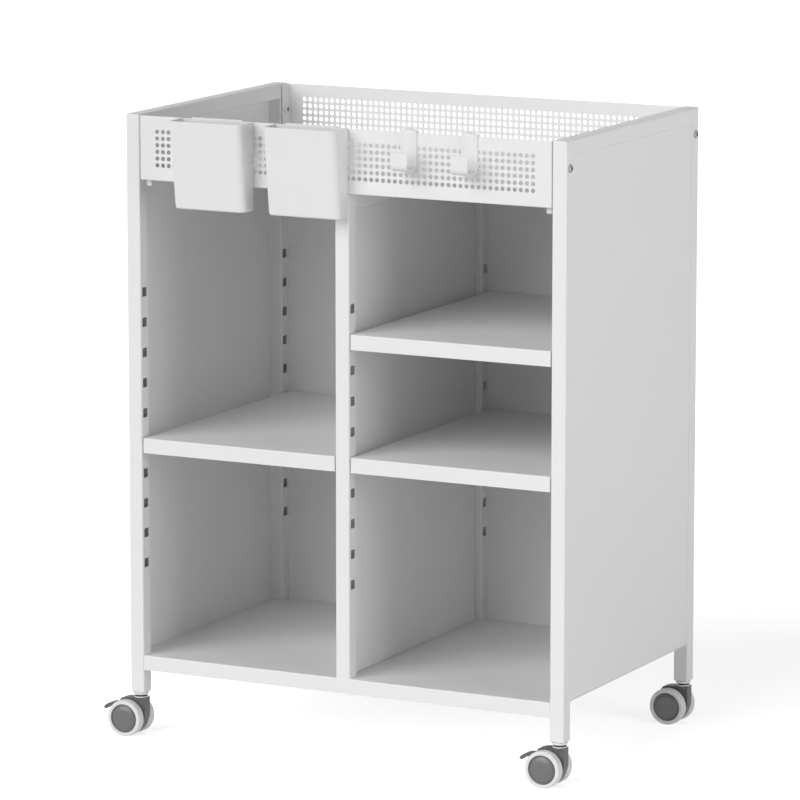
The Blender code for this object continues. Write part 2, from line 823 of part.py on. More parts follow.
def build_carcass(assembly, white, steel):
    """Posts, tubes, panels, rails, bolts and the welded shelves."""
    half_turn = (0, 0, math.pi)
    near = TUBE / 2
    far_x = WIDTH - near
    far_y = DEPTH - near
    middle_x = WIDTH / 2
    middle_y = DEPTH / 2

    post = corner_post()
    assembly.place("left_front_post", post, white, (near, near, LEG_BOTTOM))
    assembly.place("left_rear_post", post, white, (near, far_y, LEG_BOTTOM))
    assembly.place("right_front_post", post, white, (far_x, near, LEG_BOTTOM), half_turn)
    assembly.place("right_rear_post", post, white, (far_x, far_y, LEG_BOTTOM), half_turn)

    upright = divider_post()
    assembly.place("divider_front_post", upright, white, (middle_x, near, SHELF_FLOOR + FIT))
    assembly.place("divider_rear_post", upright, white, (middle_x, far_y, SHELF_FLOOR + FIT))

    tube = cross_tube()
    assembly.place("left_top_rail", tube, white, (near, middle_y, TOP - near))
    assembly.place("right_top_rail", tube, white, (far_x, middle_y, TOP - near))
    assembly.place("divider_top_rail", tube, white, (middle_x, middle_y, DIVIDER_TOP - near))

    inner_front = TUBE + FIT
    inner_back = DEPTH - TUBE - FIT
    side_low = (-SHEET / 2, inner_front, SHELF_FLOOR + FIT)
    side = block(side_low, (SHEET / 2, inner_back, TOP - TUBE - FIT))
    side_x = PANEL_INSET + SHEET / 2
    assembly.place("left_side_panel", side, white, (side_x, 0, 0))
    assembly.place("right_side_panel", side, white, (WIDTH - side_x, 0, 0))
    divider = block(side_low, (SHEET / 2, inner_back, DIVIDER_TOP - TUBE - FIT))
    assembly.place("divider_panel", divider, white, (middle_x, 0, 0))

    back_half = (DIVIDER_LEFT - TUBE) / 2 - FIT
    back = block(
        (-back_half, BACK_FACE, SHELF_FLOOR + FIT),
        (back_half, BACK_FACE + SHEET, RAIL_BOTTOM - FIT),
    )
    back_middle = (TUBE + DIVIDER_LEFT) / 2
    assembly.place("left_back_panel", back, white, (back_middle, 0, 0))
    assembly.place("right_back_panel", back, white, (WIDTH - back_middle, 0, 0))

    rail = tray_rail()
    assembly.place("front_rail", rail, white, (middle_x, middle_y, 0))
    assembly.place("rear_rail", rail, white, (middle_x, middle_y, 0), half_turn)

    floor = bottom_shelf()
    tray = top_shelf()
    assembly.place("bottom_shelf", floor, white)
    assembly.place("top_shelf", tray, white)

    bolt = rail_bolt()
    for side_name, head_x, lean in (("left", -FIT, -1), ("right", WIDTH + FIT, 1)):
        turn = (0, lean * math.pi / 2, 0)
        for row_name, bolt_y in (("front", near), ("rear", far_y)):
            name = f"{side_name}_{row_name}_bolt"
            assembly.place(name, bolt, steel, (head_x, bolt_y, BOLT_HEIGHT), turn)
    discard(post, upright, tube, side, divider, back, rail, floor, tray, bolt)


def build_shelves(assembly, white):
    """The three shelves that hook into the posts' slots."""
    right_inner = WIDTH - TUBE
    for name, left, right, number in (
        ("left_shelf", TUBE, DIVIDER_LEFT, LEFT_SHELF_SLOT),
        ("right_upper_shelf", DIVIDER_RIGHT, right_inner, RIGHT_UPPER_SHELF_SLOT),
        ("right_lower_shelf", DIVIDER_RIGHT, right_inner, RIGHT_LOWER_SHELF_SLOT),
    ):
        shelf = hooked_shelf(left, right, number)
        assembly.place(name, shelf, white)
        discard(shelf)


def build_accessories(assembly, plastic):
    """The cups and hooks on the front rail."""
    cup = hanging_cup()
    hook = hanging_hook()
    margins = LEFT_MARGIN + CUP_SPACING + CUP_TO_HOOK + HOOK_SPACING + RIGHT_MARGIN
    free = WIDTH - 2 * TUBE - 2 * CUP_WIDTH - 2 * HOOK_WIDTH
    x = TUBE
    for name, shape, gap, width in (
        ("left_cup", cup, LEFT_MARGIN, CUP_WIDTH),
        ("right_cup", cup, CUP_SPACING, CUP_WIDTH),
        ("left_hook", hook, CUP_TO_HOOK, HOOK_WIDTH),
        ("right_hook", hook, HOOK_SPACING, HOOK_WIDTH),
    ):
        x += gap * free / margins
        assembly.place(name, shape, plastic, (x + width / 2, 0, 0))
        x += width
    discard(cup, hook)


def build_casters(assembly, plastic, grey, tyre, steel):
    """Four casters that trail to the left, with brake levers on the two at the front."""
    half_turn = (0, 0, math.pi)
    stem = caster_stem()
    plain_body = caster_body(False)
    lever_body = caster_body(True)
    axle = caster_axle()
    wheel = caster_wheel()
    cap = wheel_cap()
    lever = brake_lever()
    near = TUBE / 2
    hub = (-TRAIL, 0, WHEEL_RADIUS)
    pivot = (LEVER_PIVOT_X - TRAIL, 0, LEVER_PIVOT_Z + WHEEL_RADIUS)
    for row, y in (("front", near), ("rear", DEPTH - near)):
        braked = row == "front"
        for side, x in (("left", near), ("right", WIDTH - near)):
            name = f"caster_{row}_{side}"
            swivel = assembly.empty(name, (x, y, 0), assembly.root)
            body = lever_body if braked else plain_body
            assembly.place(f"{name}_stem", stem, plastic, parent=swivel)
            assembly.place(f"{name}_body", body, grey, parent=swivel)
            assembly.place(f"{name}_axle", axle, steel, hub, parent=swivel)
            for face, turn in (("front", (0, 0, 0)), ("rear", half_turn)):
                assembly.place(f"{name}_{face}_wheel", wheel, tyre, hub, turn, swivel)
                assembly.place(f"{name}_{face}_cap", cap, grey, hub, turn, swivel)
            if braked:
                assembly.place(f"{name}_lever", lever, grey, pivot, parent=swivel)
    discard(stem, plain_body, lever_body, axle, wheel, cap, lever)


def main():
    clear_scene()
    white = finish("powder_white", *POWDER_WHITE)
    plastic = finish("moulded_white", *MOULDED_WHITE)
    grey = finish("moulded_grey", *MOULDED_GREY)
    tyre = finish("tyre_grey", *TYRE_GREY)
    steel = finish("plated_steel", *PLATED_STEEL)
    assembly = Assembly()
    build_carcass(assembly, white, steel)
    build_shelves(assembly, white)
    build_accessories(assembly, plastic)
    build_casters(assembly, plastic, grey, tyre, steel)
    bpy.context.view_layer.update()


main()
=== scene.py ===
"""Mobile bookcase in white steel: the finished pieces, modelled over the packed frame.

Laid out as an add-on. Property groups hold the sizes and colours, one operator makes each group of like
pieces, and main() runs the operators in order. Metres, +Z up, front towards -Y.
"""

import json
import math
from contextlib import contextmanager

import bmesh
import bpy
from bpy.props import FloatProperty, FloatVectorProperty, IntProperty, PointerProperty
from mathutils import Matrix, Vector

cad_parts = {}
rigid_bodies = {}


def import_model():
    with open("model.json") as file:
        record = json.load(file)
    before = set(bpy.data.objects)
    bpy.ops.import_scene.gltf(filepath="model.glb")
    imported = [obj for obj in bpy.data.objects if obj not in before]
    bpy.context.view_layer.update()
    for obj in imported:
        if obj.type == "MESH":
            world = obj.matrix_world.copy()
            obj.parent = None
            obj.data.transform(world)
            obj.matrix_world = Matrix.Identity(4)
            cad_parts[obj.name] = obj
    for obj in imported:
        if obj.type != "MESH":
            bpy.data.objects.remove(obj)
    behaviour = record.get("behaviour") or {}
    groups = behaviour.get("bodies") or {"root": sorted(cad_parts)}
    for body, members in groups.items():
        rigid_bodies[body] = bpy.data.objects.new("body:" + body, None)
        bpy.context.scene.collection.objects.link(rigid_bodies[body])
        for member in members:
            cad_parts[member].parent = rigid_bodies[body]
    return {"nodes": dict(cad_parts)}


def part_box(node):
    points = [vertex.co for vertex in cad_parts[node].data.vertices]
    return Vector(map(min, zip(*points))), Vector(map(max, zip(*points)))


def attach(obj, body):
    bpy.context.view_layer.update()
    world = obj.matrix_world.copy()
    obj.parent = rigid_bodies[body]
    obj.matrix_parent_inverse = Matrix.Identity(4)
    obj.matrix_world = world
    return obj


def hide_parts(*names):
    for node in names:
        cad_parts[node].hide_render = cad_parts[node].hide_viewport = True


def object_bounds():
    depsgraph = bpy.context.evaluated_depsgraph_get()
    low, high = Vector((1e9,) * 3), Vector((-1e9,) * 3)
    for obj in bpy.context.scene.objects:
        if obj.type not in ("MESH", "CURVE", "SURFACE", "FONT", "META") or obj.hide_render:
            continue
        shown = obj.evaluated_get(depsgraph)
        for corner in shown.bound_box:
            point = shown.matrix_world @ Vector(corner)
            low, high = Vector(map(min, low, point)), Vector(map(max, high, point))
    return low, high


bl_info = {
    "name": "Mobile Bookcase",
    "version": (1, 0, 0),
    "blender": (4, 5, 0),
    "location": "View3D > Sidebar > Bookcase",
    "description": "Models a white steel bookcase on casters over its frame",
    "category": "Object",
}

for leftover in list(bpy.data.objects):
    bpy.data.objects.remove(leftover, do_unlink=True)

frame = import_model()
CAD_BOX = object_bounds()

# Places of the carcass, read from the frame
LEFT, FRONT, LEG_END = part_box("left_front_post")[0]
RIGHT, BACK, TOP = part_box("right_rear_post")[1]
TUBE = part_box("left_front_post")[1].x - LEFT
MIDDLE = Vector(((LEFT + RIGHT) / 2, (FRONT + BACK) / 2, 0))
RAIL_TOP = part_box("front_rail")[1].z
CASTERS = ("front_left", "front_right", "rear_left", "rear_right")

# Closeness of two numbers that count as one place, angle of a sharp edge, squareness of a facing face
CLOSE = 1e-5
SHARP = math.radians(40)
FACING = 0.9
FULL_TURN = 2 * math.pi
HALF_TURN = math.pi
QUARTER_TURN = math.pi / 2
ORIGIN = (0, 0, 0)

# Sides of round shapes
HOLE_SIDES = 16
BORE_SIDES = 24
BOLT_SIDES = 32
COLLAR_SIDES = 40
WHEEL_SIDES = 72

# Reach of a slot's cutter on both sides of the tube's face, in walls of the tube
SLOT_REACH = 1.5

# Power at which a hub cap's face falls off towards its rim
CAP_POWER = 5

# Lamps and floor
KEY_DIRECTION = (-0.36, -0.81, 0.46)
FILL_PLACE = (4.0, -1.0, 1.0)
FILL_WIDTH = 2.0
FLOOR_WIDTH = 60.0
FLOOR_ROUGHNESS = 0.9

# Detail of the patches and the grain of a finish, stretch of the noise over which its tone drifts
PATCH_DETAIL = 3
GRAIN_DETAIL = 2
DRIFT_START = 0.3
DRIFT_END = 0.7

# Share of the painted groove shade's height that its upper and lower border take
SHADE_BORDER = 0.001


def size(name, description, default):
    """A length in metres that a user can change."""
    return FloatProperty(
        name=name, description=description, default=default, min=0.0, precision=4, unit="LENGTH"
    )


def tally(name, description, default):
    """A whole number of like features."""
    return IntProperty(name=name, description=description, default=default, min=1)


def share(name, description, default):
    """A plain number without a unit."""
    return FloatProperty(name=name, description=description, default=default, min=0.0, precision=3)


def degrees(name, description, default):
    """An angle, given in degrees and kept in radians."""
    return FloatProperty(
        name=name, description=description, default=math.radians(default), subtype="ANGLE"
    )


def colour(name, description, default):
    """A linear colour."""
    return FloatVectorProperty(
        name=name, description=description, default=default, size=3, min=0.0, max=1.0, subtype="COLOR"
    )


class CarcassSizes(bpy.types.PropertyGroup):
    """Square tubes, slots, sheets and folded shelves"""

    tube_wall: size("Tube wall", "Thickness of the square tube", 0.0012)
    tube_corner: size("Tube corner", "Radius along the edges of the square tube", 0.0018)
    leg_end: size("Leg end", "Rounding of the lower end of a leg", 0.0016)
    fit: size("Fit", "Gap between pieces that lie against each other", 0.0003)
    edge: size("Edge", "Rounding that the powder coat leaves on a cut edge", 0.0003)
    slot_count: tally("Slots", "Slots in one face of an upright", 10)
    slot_drop: size("First slot", "Top of the case to the middle of the first slot", 0.222)
    slot_pitch: size("Slot pitch", "Distance from slot to slot", 0.038)
    slot_width: size("Slot width", "Width of a slot", 0.0108)
    slot_height: size("Slot height", "Height of a slot", 0.0115)
    slot_corner: size("Slot corner", "Radius of a slot's corners", 0.0012)
    groove: size("Groove", "Width and depth of the groove round a panel's outer face", 0.0008)
    sheet: size("Sheet", "Thickness of the panels and shelves", 0.001)
    fold: size("Fold", "Outer radius of a folded edge", 0.0014)
    floor_lip: size("Bottom shelf lip", "Height of the bottom shelf's front lip", 0.019)
    floor_rear_lip: size("Bottom shelf rear lip", "Height of the bottom shelf's rear lip", 0.0115)
    tray_lip: size("Tray lip", "Height of the lips under the tray floor", 0.0095)
    shelf_lip: size("Shelf lip", "Height of a hooked shelf's rim", 0.019)
    shelf_gap: size("Shelf gap", "Gap between a hooked shelf and the posts", 0.0013)
    shelf_rise: size("Shelf rise", "Top of a hooked shelf above the middle of its slot", 0.0075)
    tab_thickness: size("Hook thickness", "Thickness of a shelf's hook", 0.002)
    tab_neck: size("Hook neck", "Height of the neck of a shelf's hook", 0.005)
    tab_drop: size("Hook drop", "How far a shelf's hook reaches down inside the post", 0.003)
    tab_width: size("Hook width", "Width of the part of the hook inside the post", 0.0025)


class RailSizes(bpy.types.PropertyGroup):
    """Perforated rails of the top tray, and their bolts"""

    sheet: size("Rail sheet", "Thickness of a rail", 0.0012)
    fold: size("Rail fold", "Outer radius of a rail's folds", 0.0016)
    end_gap: size("End gap", "Joint between a rail's ends and the posts, beyond the fit", 0.0006)
    hole: size("Hole", "Diameter of a perforation", 0.0056)
    columns: tally("Columns", "Columns of perforations", 65)
    rows: tally("Rows", "Rows of perforations", 6)
    column_pitch: size("Column pitch", "Distance from column to column", 0.00799)
    row_pitch: size("Row pitch", "Distance from row to row", 0.0083)
    row_drop: size("First row", "Top of the rail to the middle of the first row", 0.0191)
    lug_width: size("Lug width", "Width of a lug under a rail's end", 0.007)
    lug_drop: size("Lug drop", "How far a lug reaches below the rail", 0.008)
    lug_thickness: size("Lug thickness", "Thickness of a lug", 0.0025)
    lug_inset: size("Lug inset", "Post to lug", 0.0047)
    lug_setback: size("Lug setback", "Face of the rail to the face of a lug", 0.009)
    lug_round: size("Lug rounding", "Rounding of a lug's edges", 0.0007)
    boss_radius: size("Boss radius", "Radius of the threaded boss behind a rail's flange", 0.0055)
    boss_length: size("Boss length", "Length of that boss", 0.004)
    bolt_drop: size("Bolt drop", "Top of the case to a bolt's axis", 0.0335)
    bolt_radius: size("Bolt radius", "Radius of a bolt's shank", 0.0028)
    head_radius: size("Head radius", "Radius of a bolt's head", 0.0053)
    head_height: size("Head height", "Height of a bolt's head", 0.0025)
    socket_radius: size("Socket radius", "Radius of the six-sided socket over its corners", 0.0027)
    socket_depth: size("Socket depth", "Depth of that socket", 0.0018)


class AccessorySizes(bpy.types.PropertyGroup):
    """Cups and hooks that hang on the front rail"""

    cup_wall: size("Cup wall", "Thickness of a cup", 0.0017)
    cup_side_taper: size("Side taper", "How far a cup's sides lean in", 0.0008)
    cup_front_taper: size("Front taper", "How far a cup's front leans in", 0.0125)
    cup_corner: size("Cup corner", "Radius of a cup's front corners", 0.0085)
    cup_base: size("Cup base", "Radius round a cup's base", 0.0025)
    cup_rim: size("Cup rim", "Rounding of a cup's rim", 0.0005)
    lip_width: size("Lip width", "Width of the lip that hangs a cup on the rail", 0.070)
    lip_wall: size("Lip wall", "Thickness of that lip", 0.0014)
    lip_drop: size("Lip drop", "How far that lip reaches down behind the rail", 0.012)
    lip_bend: size("Lip bend", "Outer radius of that lip's bends", 0.0013)
    lip_edge: size("Lip edge", "Rounding of that lip's edges", 0.00035)
    hook_thickness: size("Hook thickness", "Thickness of a hook's strap", 0.0042)
    hook_tip: size("Hook tip", "Height of a hook's upturned end", 0.0235)
    hook_lip: size("Hook lip", "How far a hook reaches down behind the rail", 0.016)
    hook_crest: size("Hook crest", "Inner radius of the bends over the rail", 0.0003)
    hook_base: size("Hook base", "Inner radius of the bends at a hook's base", 0.0034)
    hook_crown: size("Hook crown", "How far a strap's outer face falls off towards its edges", 0.0032)
    hook_corner: size("Hook corner", "Radius of the corners of a hook's upturned end", 0.002)
    hook_edge: size("Hook edge", "Rounding of a hook's edges", 0.0004)


class CasterSizes(bpy.types.PropertyGroup):
    """Twin-wheel casters with a brake lever at the front"""

    trail: size("Trail", "Swivel axis to axle", 0.015)
    wheel_radius: size("Wheel radius", "Radius of a wheel", 0.023)
    wheel_width: size("Wheel width", "Width of one wheel", 0.013)
    wheel_gap: size("Wheel gap", "Gap between a wheel and the hood", 0.0005)
    outer_shoulder: size("Outer shoulder", "Radius of a tyre's outer edge", 0.0024)
    inner_shoulder: size("Inner shoulder", "Radius of a tyre's inner edge", 0.0026)
    tyre_wall: size("Tyre wall", "Width of the pale ring round a hub cap", 0.005)
    cap_depth: size("Cap depth", "Depth of the seat of a hub cap", 0.003)
    cap_groove: size("Cap groove", "Width of the groove between a hub cap's crown and its tyre", 0.0018)
    cap_flange: size("Cap flange", "Thickness of a hub cap's flange at the bottom of that groove", 0.0005)
    cap_crown: size("Cap crown", "How far a hub cap bulges past its tyre", 0.0006)
    cap_fall: size("Cap fall", "How far a hub cap falls off towards its rim", 0.0022)
    hood_width: size("Hood width", "Width of the hood between the wheels", 0.013)
    hood_margin: size("Hood margin", "How far the hood stands above the wheels", 0.0022)
    body_margin: size("Body margin", "How far the hood's lower part stays inside the wheels", 0.002)
    neck_rise: size("Neck rise", "Height of the neck above the hood", 0.0008)
    hood_edge: size("Hood edge", "Rounding of the hood's edges", 0.0009)
    lower_front: degrees("Lower front", "Angle about the axle where the lower round starts", -20)
    lower_rear: degrees("Lower rear", "Angle about the axle where the lower round ends", -210)
    hood_rear: degrees("Hood rear", "Angle about the axle where the hood starts", 115)
    hood_front: degrees("Hood front", "Angle about the axle where the hood ends", 80)
    neck_radius: size("Neck radius", "Radius of the hood's neck under the collar", 0.0085)
    shoulder_radius: size("Shoulder radius", "Radius of the collar's upper part, under the leg", 0.0094)
    shoulder_height: size("Shoulder height", "Height of that part", 0.0029)
    shoulder_round: size("Shoulder rounding", "Radius of that part's lower edge", 0.0012)
    groove_radius: size("Groove radius", "Radius of the groove round the collar", 0.005)
    ring_radius: size("Ring radius", "Radius of the ring under the groove", 0.0089)
    ring_height: size("Ring height", "Height of that ring", 0.0014)
    collar_edge: size("Collar edge", "Rounding of the collar's rings", 0.0004)
    plug_length: size("Plug length", "Length of the plug inside the leg", 0.022)
    pin_radius: size("Pin radius", "Radius of the swivel pin", 0.004)
    pin_length: size("Pin length", "Length of the swivel pin below the collar", 0.015)
    axle_radius: size("Axle radius", "Radius of the axle", 0.003)
    pivot_angle: degrees("Pivot angle", "Angle about the axle of the lever's pivot", 128.7)
    pivot_depth: size("Pivot depth", "Lever's pivot below the hood's surface", 0.00905)
    lever_boss: size("Lever boss", "Radius of the lever's boss", 0.0035)
    lever_reach: size("Lever reach", "Pivot to the lever's tip, along X", 0.0248)
    lever_fall: size("Lever fall", "Pivot to the lever's tip, downwards", 0.005)
    crown_reach: size("Crown reach", "Pivot to the crown of the lever's arch", 0.0174)
    lever_arch: size("Lever arch", "Height of the crown of the lever's arch", 0.0044)
    lever_thickness: size("Lever thickness", "Thickness of the lever at its pivot", 0.0046)
    tip_thickness: size("Tip thickness", "Thickness of the lever at its tip", 0.0037)
    lever_edge: size("Lever edge", "Rounding of the lever's edges", 0.0006)
    lever_travel: degrees("Lever travel", "How far the lever is pressed down", 20)
    notch_margin: degrees("Notch margin", "Room round the lever in the hood", 7)


class Finishes(bpy.types.PropertyGroup):
    """Colours of the finishes"""

    powder_white: colour("Powder coat", "White powder coat of the steel", (0.86, 0.86, 0.86))
    moulded_white: colour("White plastic", "Plastic of the cups and hooks", (0.85, 0.85, 0.845))
    # Painted shade: the dark colour painted into the collar's groove to stand in for its shadow
    seal: colour("Seal", "Dark seal in the groove of a caster's collar", (0.10, 0.10, 0.10))
    # Painted light and shade: hoods, levers and hub caps are one grey plastic; the darker grey below is
    # painted shade on the hoods and levers, the lighter cap grey after it paints the light on the caps
    moulded_grey: colour("Grey plastic", "Plastic of the hoods and levers", (0.105, 0.105, 0.108))
    cap_grey: colour("Cap plastic", "Plastic of the hub caps", (0.163, 0.163, 0.167))
    tyre_grey: colour("Tyre", "Pale rubber of the wheels", (0.84, 0.84, 0.835))
    plated_steel: colour("Plated steel", "Zinc plating of bolts and axles", (0.30, 0.30, 0.31))


class StageSettings(bpy.types.PropertyGroup):
    """Floor, light and camera"""

    floor_colour: colour("Floor", "Colour of the floor", (0.92, 0.92, 0.92))
    floor_glow: share(
        "Floor glow", "White added to the floor near the object, as the camera sees it", 0.66
    )
    far_glow: share("Far glow", "White added to the floor far from the object", 0.90)
    near_floor: size("Near floor", "Distance from the object up to which the floor glow holds", 0.7)
    far_floor: size("Far floor", "Distance from the object beyond which the far glow holds", 2.2)
    ambient: share("Ambient", "Strength of the surrounding light", 0.20)
    key_strength: share("Key strength", "Strength of the wide lamp at the front left", 1.96)
    key_spread: degrees("Key spread", "Angle over which that lamp spreads", 50)
    fill_power: share("Fill power", "Power of the lamp at the right, in watts", 48.0)
    camera_place: FloatVectorProperty(
        name="Camera place",
        description="Place of the camera that matches the photograph",
        default=(2.8975, -5.6635, 1.5523),
        subtype="TRANSLATION",
        unit="LENGTH",
    )
    camera_yaw: degrees("Camera yaw", "Direction of the camera, left of straight ahead", 27.037)
    camera_pitch: degrees("Camera pitch", "How far the camera looks down", 10.074)
    camera_lens: FloatProperty(
        name="Lens", description="Focal length on a 36 mm sensor", default=232.81, unit="CAMERA"
    )


# Selecting, placing and copying


def select_only(piece):
    """Makes the piece the only one selected, and the active one."""
    bpy.ops.object.select_all(action="DESELECT")
    piece.select_set(True)
    bpy.context.view_layer.objects.active = piece


def added(name):
    """Names the primitive that was just added, and moves its place and size into its mesh."""
    piece = bpy.context.object
    piece.name = name
    piece.data.name = name
    bpy.ops.object.transform_apply(location=True, rotation=True, scale=True)
    return piece


@contextmanager
def editing(piece, mode):
    """Edit mode on the piece with nothing selected, in VERT, EDGE or FACE mode."""
    select_only(piece)
    bpy.ops.object.mode_set(mode="EDIT")
    bpy.ops.mesh.select_mode(type=mode)
    bpy.ops.mesh.select_all(action="DESELECT")
    yield
    bpy.ops.object.mode_set(mode="OBJECT")


def pick(piece, kind, wanted):
    """Selects only the vertices, edges or faces that are wanted."""
    bpy.ops.mesh.select_all(action="DESELECT")
    shape = bmesh.from_edit_mesh(piece.data)
    chosen = [part for part in getattr(shape, kind) if wanted(part)]
    if not chosen:
        raise RuntimeError(f"{piece.name} has no {kind} to shape there")
    for part in chosen:
        part.select_set(True)
    bmesh.update_edit_mesh(piece.data)


def pick_all():
    """Selects the whole mesh."""
    bpy.ops.mesh.select_all(action="SELECT")


def face_outwards():
    """Turns every face of the mesh outwards."""
    pick_all()
    bpy.ops.mesh.normals_make_consistent(inside=False)


def near(value, place):
    """Whether a coordinate lies at a place."""
    return abs(value - place) < CLOSE


def lies_at(part, axis, place):
    """Whether all corners of an edge or face lie at a place along an axis, 0 to 2."""
    return all(near(corner.co[axis], place) for corner in part.verts)


def runs_along(edge, axis):
    """Whether an edge runs along one axis."""
    along = edge.verts[1].co - edge.verts[0].co
    return near(abs(along[axis]), along.length)


def middle_of(edge):
    """Middle of an edge."""
    return (edge.verts[0].co + edge.verts[1].co) / 2


def copy_of(piece, name, move=ORIGIN, turn=0.0, pivot=ORIGIN):
    """A copy with its own mesh, turned about an upright axis through the pivot and then moved."""
    select_only(piece)
    bpy.ops.object.duplicate(linked=False)
    pivot = Vector(pivot)
    place = Matrix.Translation(Vector(move) + pivot) @ Matrix.Rotation(turn, 4, "Z")
    bpy.context.object.matrix_world = place @ Matrix.Translation(-pivot)
    return added(name)


def discard(*pieces):
    """Removes shapes that were only modelled to be copied or cut with."""
    for piece in pieces:
        bpy.data.objects.remove(piece, do_unlink=True)


# Shapes to start from


def block(name, low, high):
    """A box from its lowest to its highest corner."""
    low, high = Vector(low), Vector(high)
    bpy.ops.mesh.primitive_cube_add(size=1, location=(low + high) / 2)
    bpy.context.object.scale = high - low
    return added(name)


def flat(name, low, high, height):
    """A level rectangle from its lowest to its highest corner."""
    bpy.ops.mesh.primitive_plane_add(size=1, location=(*((low + high) / 2).xy, height))
    bpy.context.object.scale = (*(high - low).xy, 1)
    return added(name)


def rod(name, radius, start, end, sides):
    """A round bar between two points along X, Y or Z."""
    start, end = Vector(start), Vector(end)
    turn = Vector((0, 0, 1)).rotation_difference(end - start).to_euler()
    bpy.ops.mesh.primitive_cylinder_add(
        vertices=sides,
        radius=radius,
        depth=(end - start).length,
        location=(start + end) / 2,
        rotation=turn,
    )
    return added(name)


def drawn(name, points):
    """A path through the points, drawn from the first one by extruding a vertex."""
    points = [Vector(point) for point in points]
    bpy.ops.mesh.primitive_plane_add(size=CLOSE, location=points[0])
    piece = added(name)
    with editing(piece, "VERT"):
        pick_all()
        bpy.ops.mesh.merge(type="CENTER")
        for before, after in zip(points, points[1:]):
            bpy.ops.mesh.extrude_vertices_move(TRANSFORM_OT_translate={"value": after - before})
    return piece


def spun(name, profile, centre, axis, sides):
    """A shape turned from a profile about an axis."""
    piece = drawn(name, profile)
    with editing(piece, "VERT"):
        pick_all()
        bpy.ops.mesh.spin(steps=sides, angle=FULL_TURN, center=centre, axis=axis)
        pick_all()
        bpy.ops.mesh.remove_doubles(threshold=CLOSE)
        face_outwards()
    return piece


def slab(name, outline, half_width):
    """An outline of (x, z) points, filled and given a width along Y about Y = 0."""
    piece = drawn(name, [(across, -half_width, up) for across, up in outline])
    with editing(piece, "VERT"):
        pick_all()
        bpy.ops.mesh.edge_face_add()
        extrude((0, 2 * half_width, 0))
        face_outwards()
    return piece


def arc(centre, radius, start, end, steps):
    """Points of an arc in the XZ plane."""
    angles = [start + (end - start) * step / steps for step in range(steps + 1)]
    return [
        (centre[0] + radius * math.cos(angle), centre[1] + radius * math.sin(angle))
        for angle in angles
    ]


# Shaping


def extrude(move):
    """Extrudes what is selected."""
    bpy.ops.mesh.extrude_region_move(TRANSFORM_OT_translate={"value": move})


def sweep(angle, centre, steps):
    """Spins the selected face about an axis along X, towards +Z from -Y for a positive angle."""
    bpy.ops.mesh.spin(steps=steps, angle=-angle, center=centre, axis=(1, 0, 0))


def bevel(width, segments):
    """Rounds the selected edges."""
    bpy.ops.mesh.bevel(offset=width, segments=segments, affect="EDGES")


def score(co, normal):
    """Cuts an edge line through the whole mesh at a plane."""
    pick_all()
    bpy.ops.mesh.bisect(plane_co=co, plane_no=normal)


def modify(piece, kind, **settings):
    """Adds a modifier and applies it."""
    select_only(piece)
    bpy.ops.object.modifier_add(type=kind)
    modifier = piece.modifiers[-1]
    for setting, value in settings.items():
        setattr(modifier, setting, value)
    bpy.ops.object.modifier_apply(modifier=modifier.name)


def soften(piece, width, segments=2):
    """Rounds every sharp edge a little."""
    modify(piece, "BEVEL", width=width, segments=segments, limit_method="ANGLE", angle_limit=SHARP)


def thicken(piece, thickness):
    """Gives an open sheet its thickness, behind its face."""
    modify(piece, "SOLIDIFY", thickness=thickness, offset=-1, use_even_offset=True)


def repeat(piece, count, step, merge=False):
    """Repeats the piece along a step."""
    modify(
        piece,
        "ARRAY",
        count=count,
        use_relative_offset=False,
        use_constant_offset=True,
        constant_offset_displace=step,
        use_merge_vertices=merge,
        merge_threshold=CLOSE,
    )


def cut(piece, *cutters):
    """Cuts the cutters out of the piece."""
    for cutter in cutters:
        modify(piece, "BOOLEAN", operation="DIFFERENCE", object=cutter)
    discard(*cutters)


def fuse(piece, *others):
    """Joins the others to the piece as one body."""
    for other in others:
        modify(piece, "BOOLEAN", operation="UNION", object=other)
    discard(*others)


def gather(piece, *others):
    """Puts the others into the piece's mesh as they are."""
    select_only(piece)
    for other in others:
        other.select_set(True)
    bpy.ops.object.join()
    return piece


def dress(piece, finish, body, slot, *nodes):
    """Gives a finished piece its material and ties it to the frame."""
    piece.data.materials.clear()
    piece.data.materials.append(finish)
    select_only(piece)
    bpy.ops.object.shade_smooth_by_angle(angle=SHARP)
    modify(piece, "WEIGHTED_NORMAL", keep_sharp=True)
    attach(piece, body)
    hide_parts(*nodes)


# Finishes


def feed(tree, node, inputs):
    """Gives inputs of a node, by name or number, their values or links from other nodes' sockets."""
    for name, source in inputs.items():
        if isinstance(source, bpy.types.NodeSocket):
            tree.links.new(source, node.inputs[name])
        else:
            node.inputs[name].default_value = source


def add_node(tree, kind, inputs, **settings):
    """A new node of a kind, with its settings and its inputs."""
    node = tree.nodes.new(kind)
    for setting, value in settings.items():
        setattr(node, setting, value)
    feed(tree, node, inputs)
    return node


def own_place(tree):
    """The place on a piece, in its own Object coordinates."""
    return add_node(tree, "ShaderNodeTexCoord", {}).outputs["Object"]


def noise(tree, place, width, detail):
    """Soft noise in patches of a width."""
    inputs = {"Vector": place, "Scale": 1 / width, "Detail": detail}
    return add_node(tree, "ShaderNodeTexNoise", inputs).outputs["Fac"]


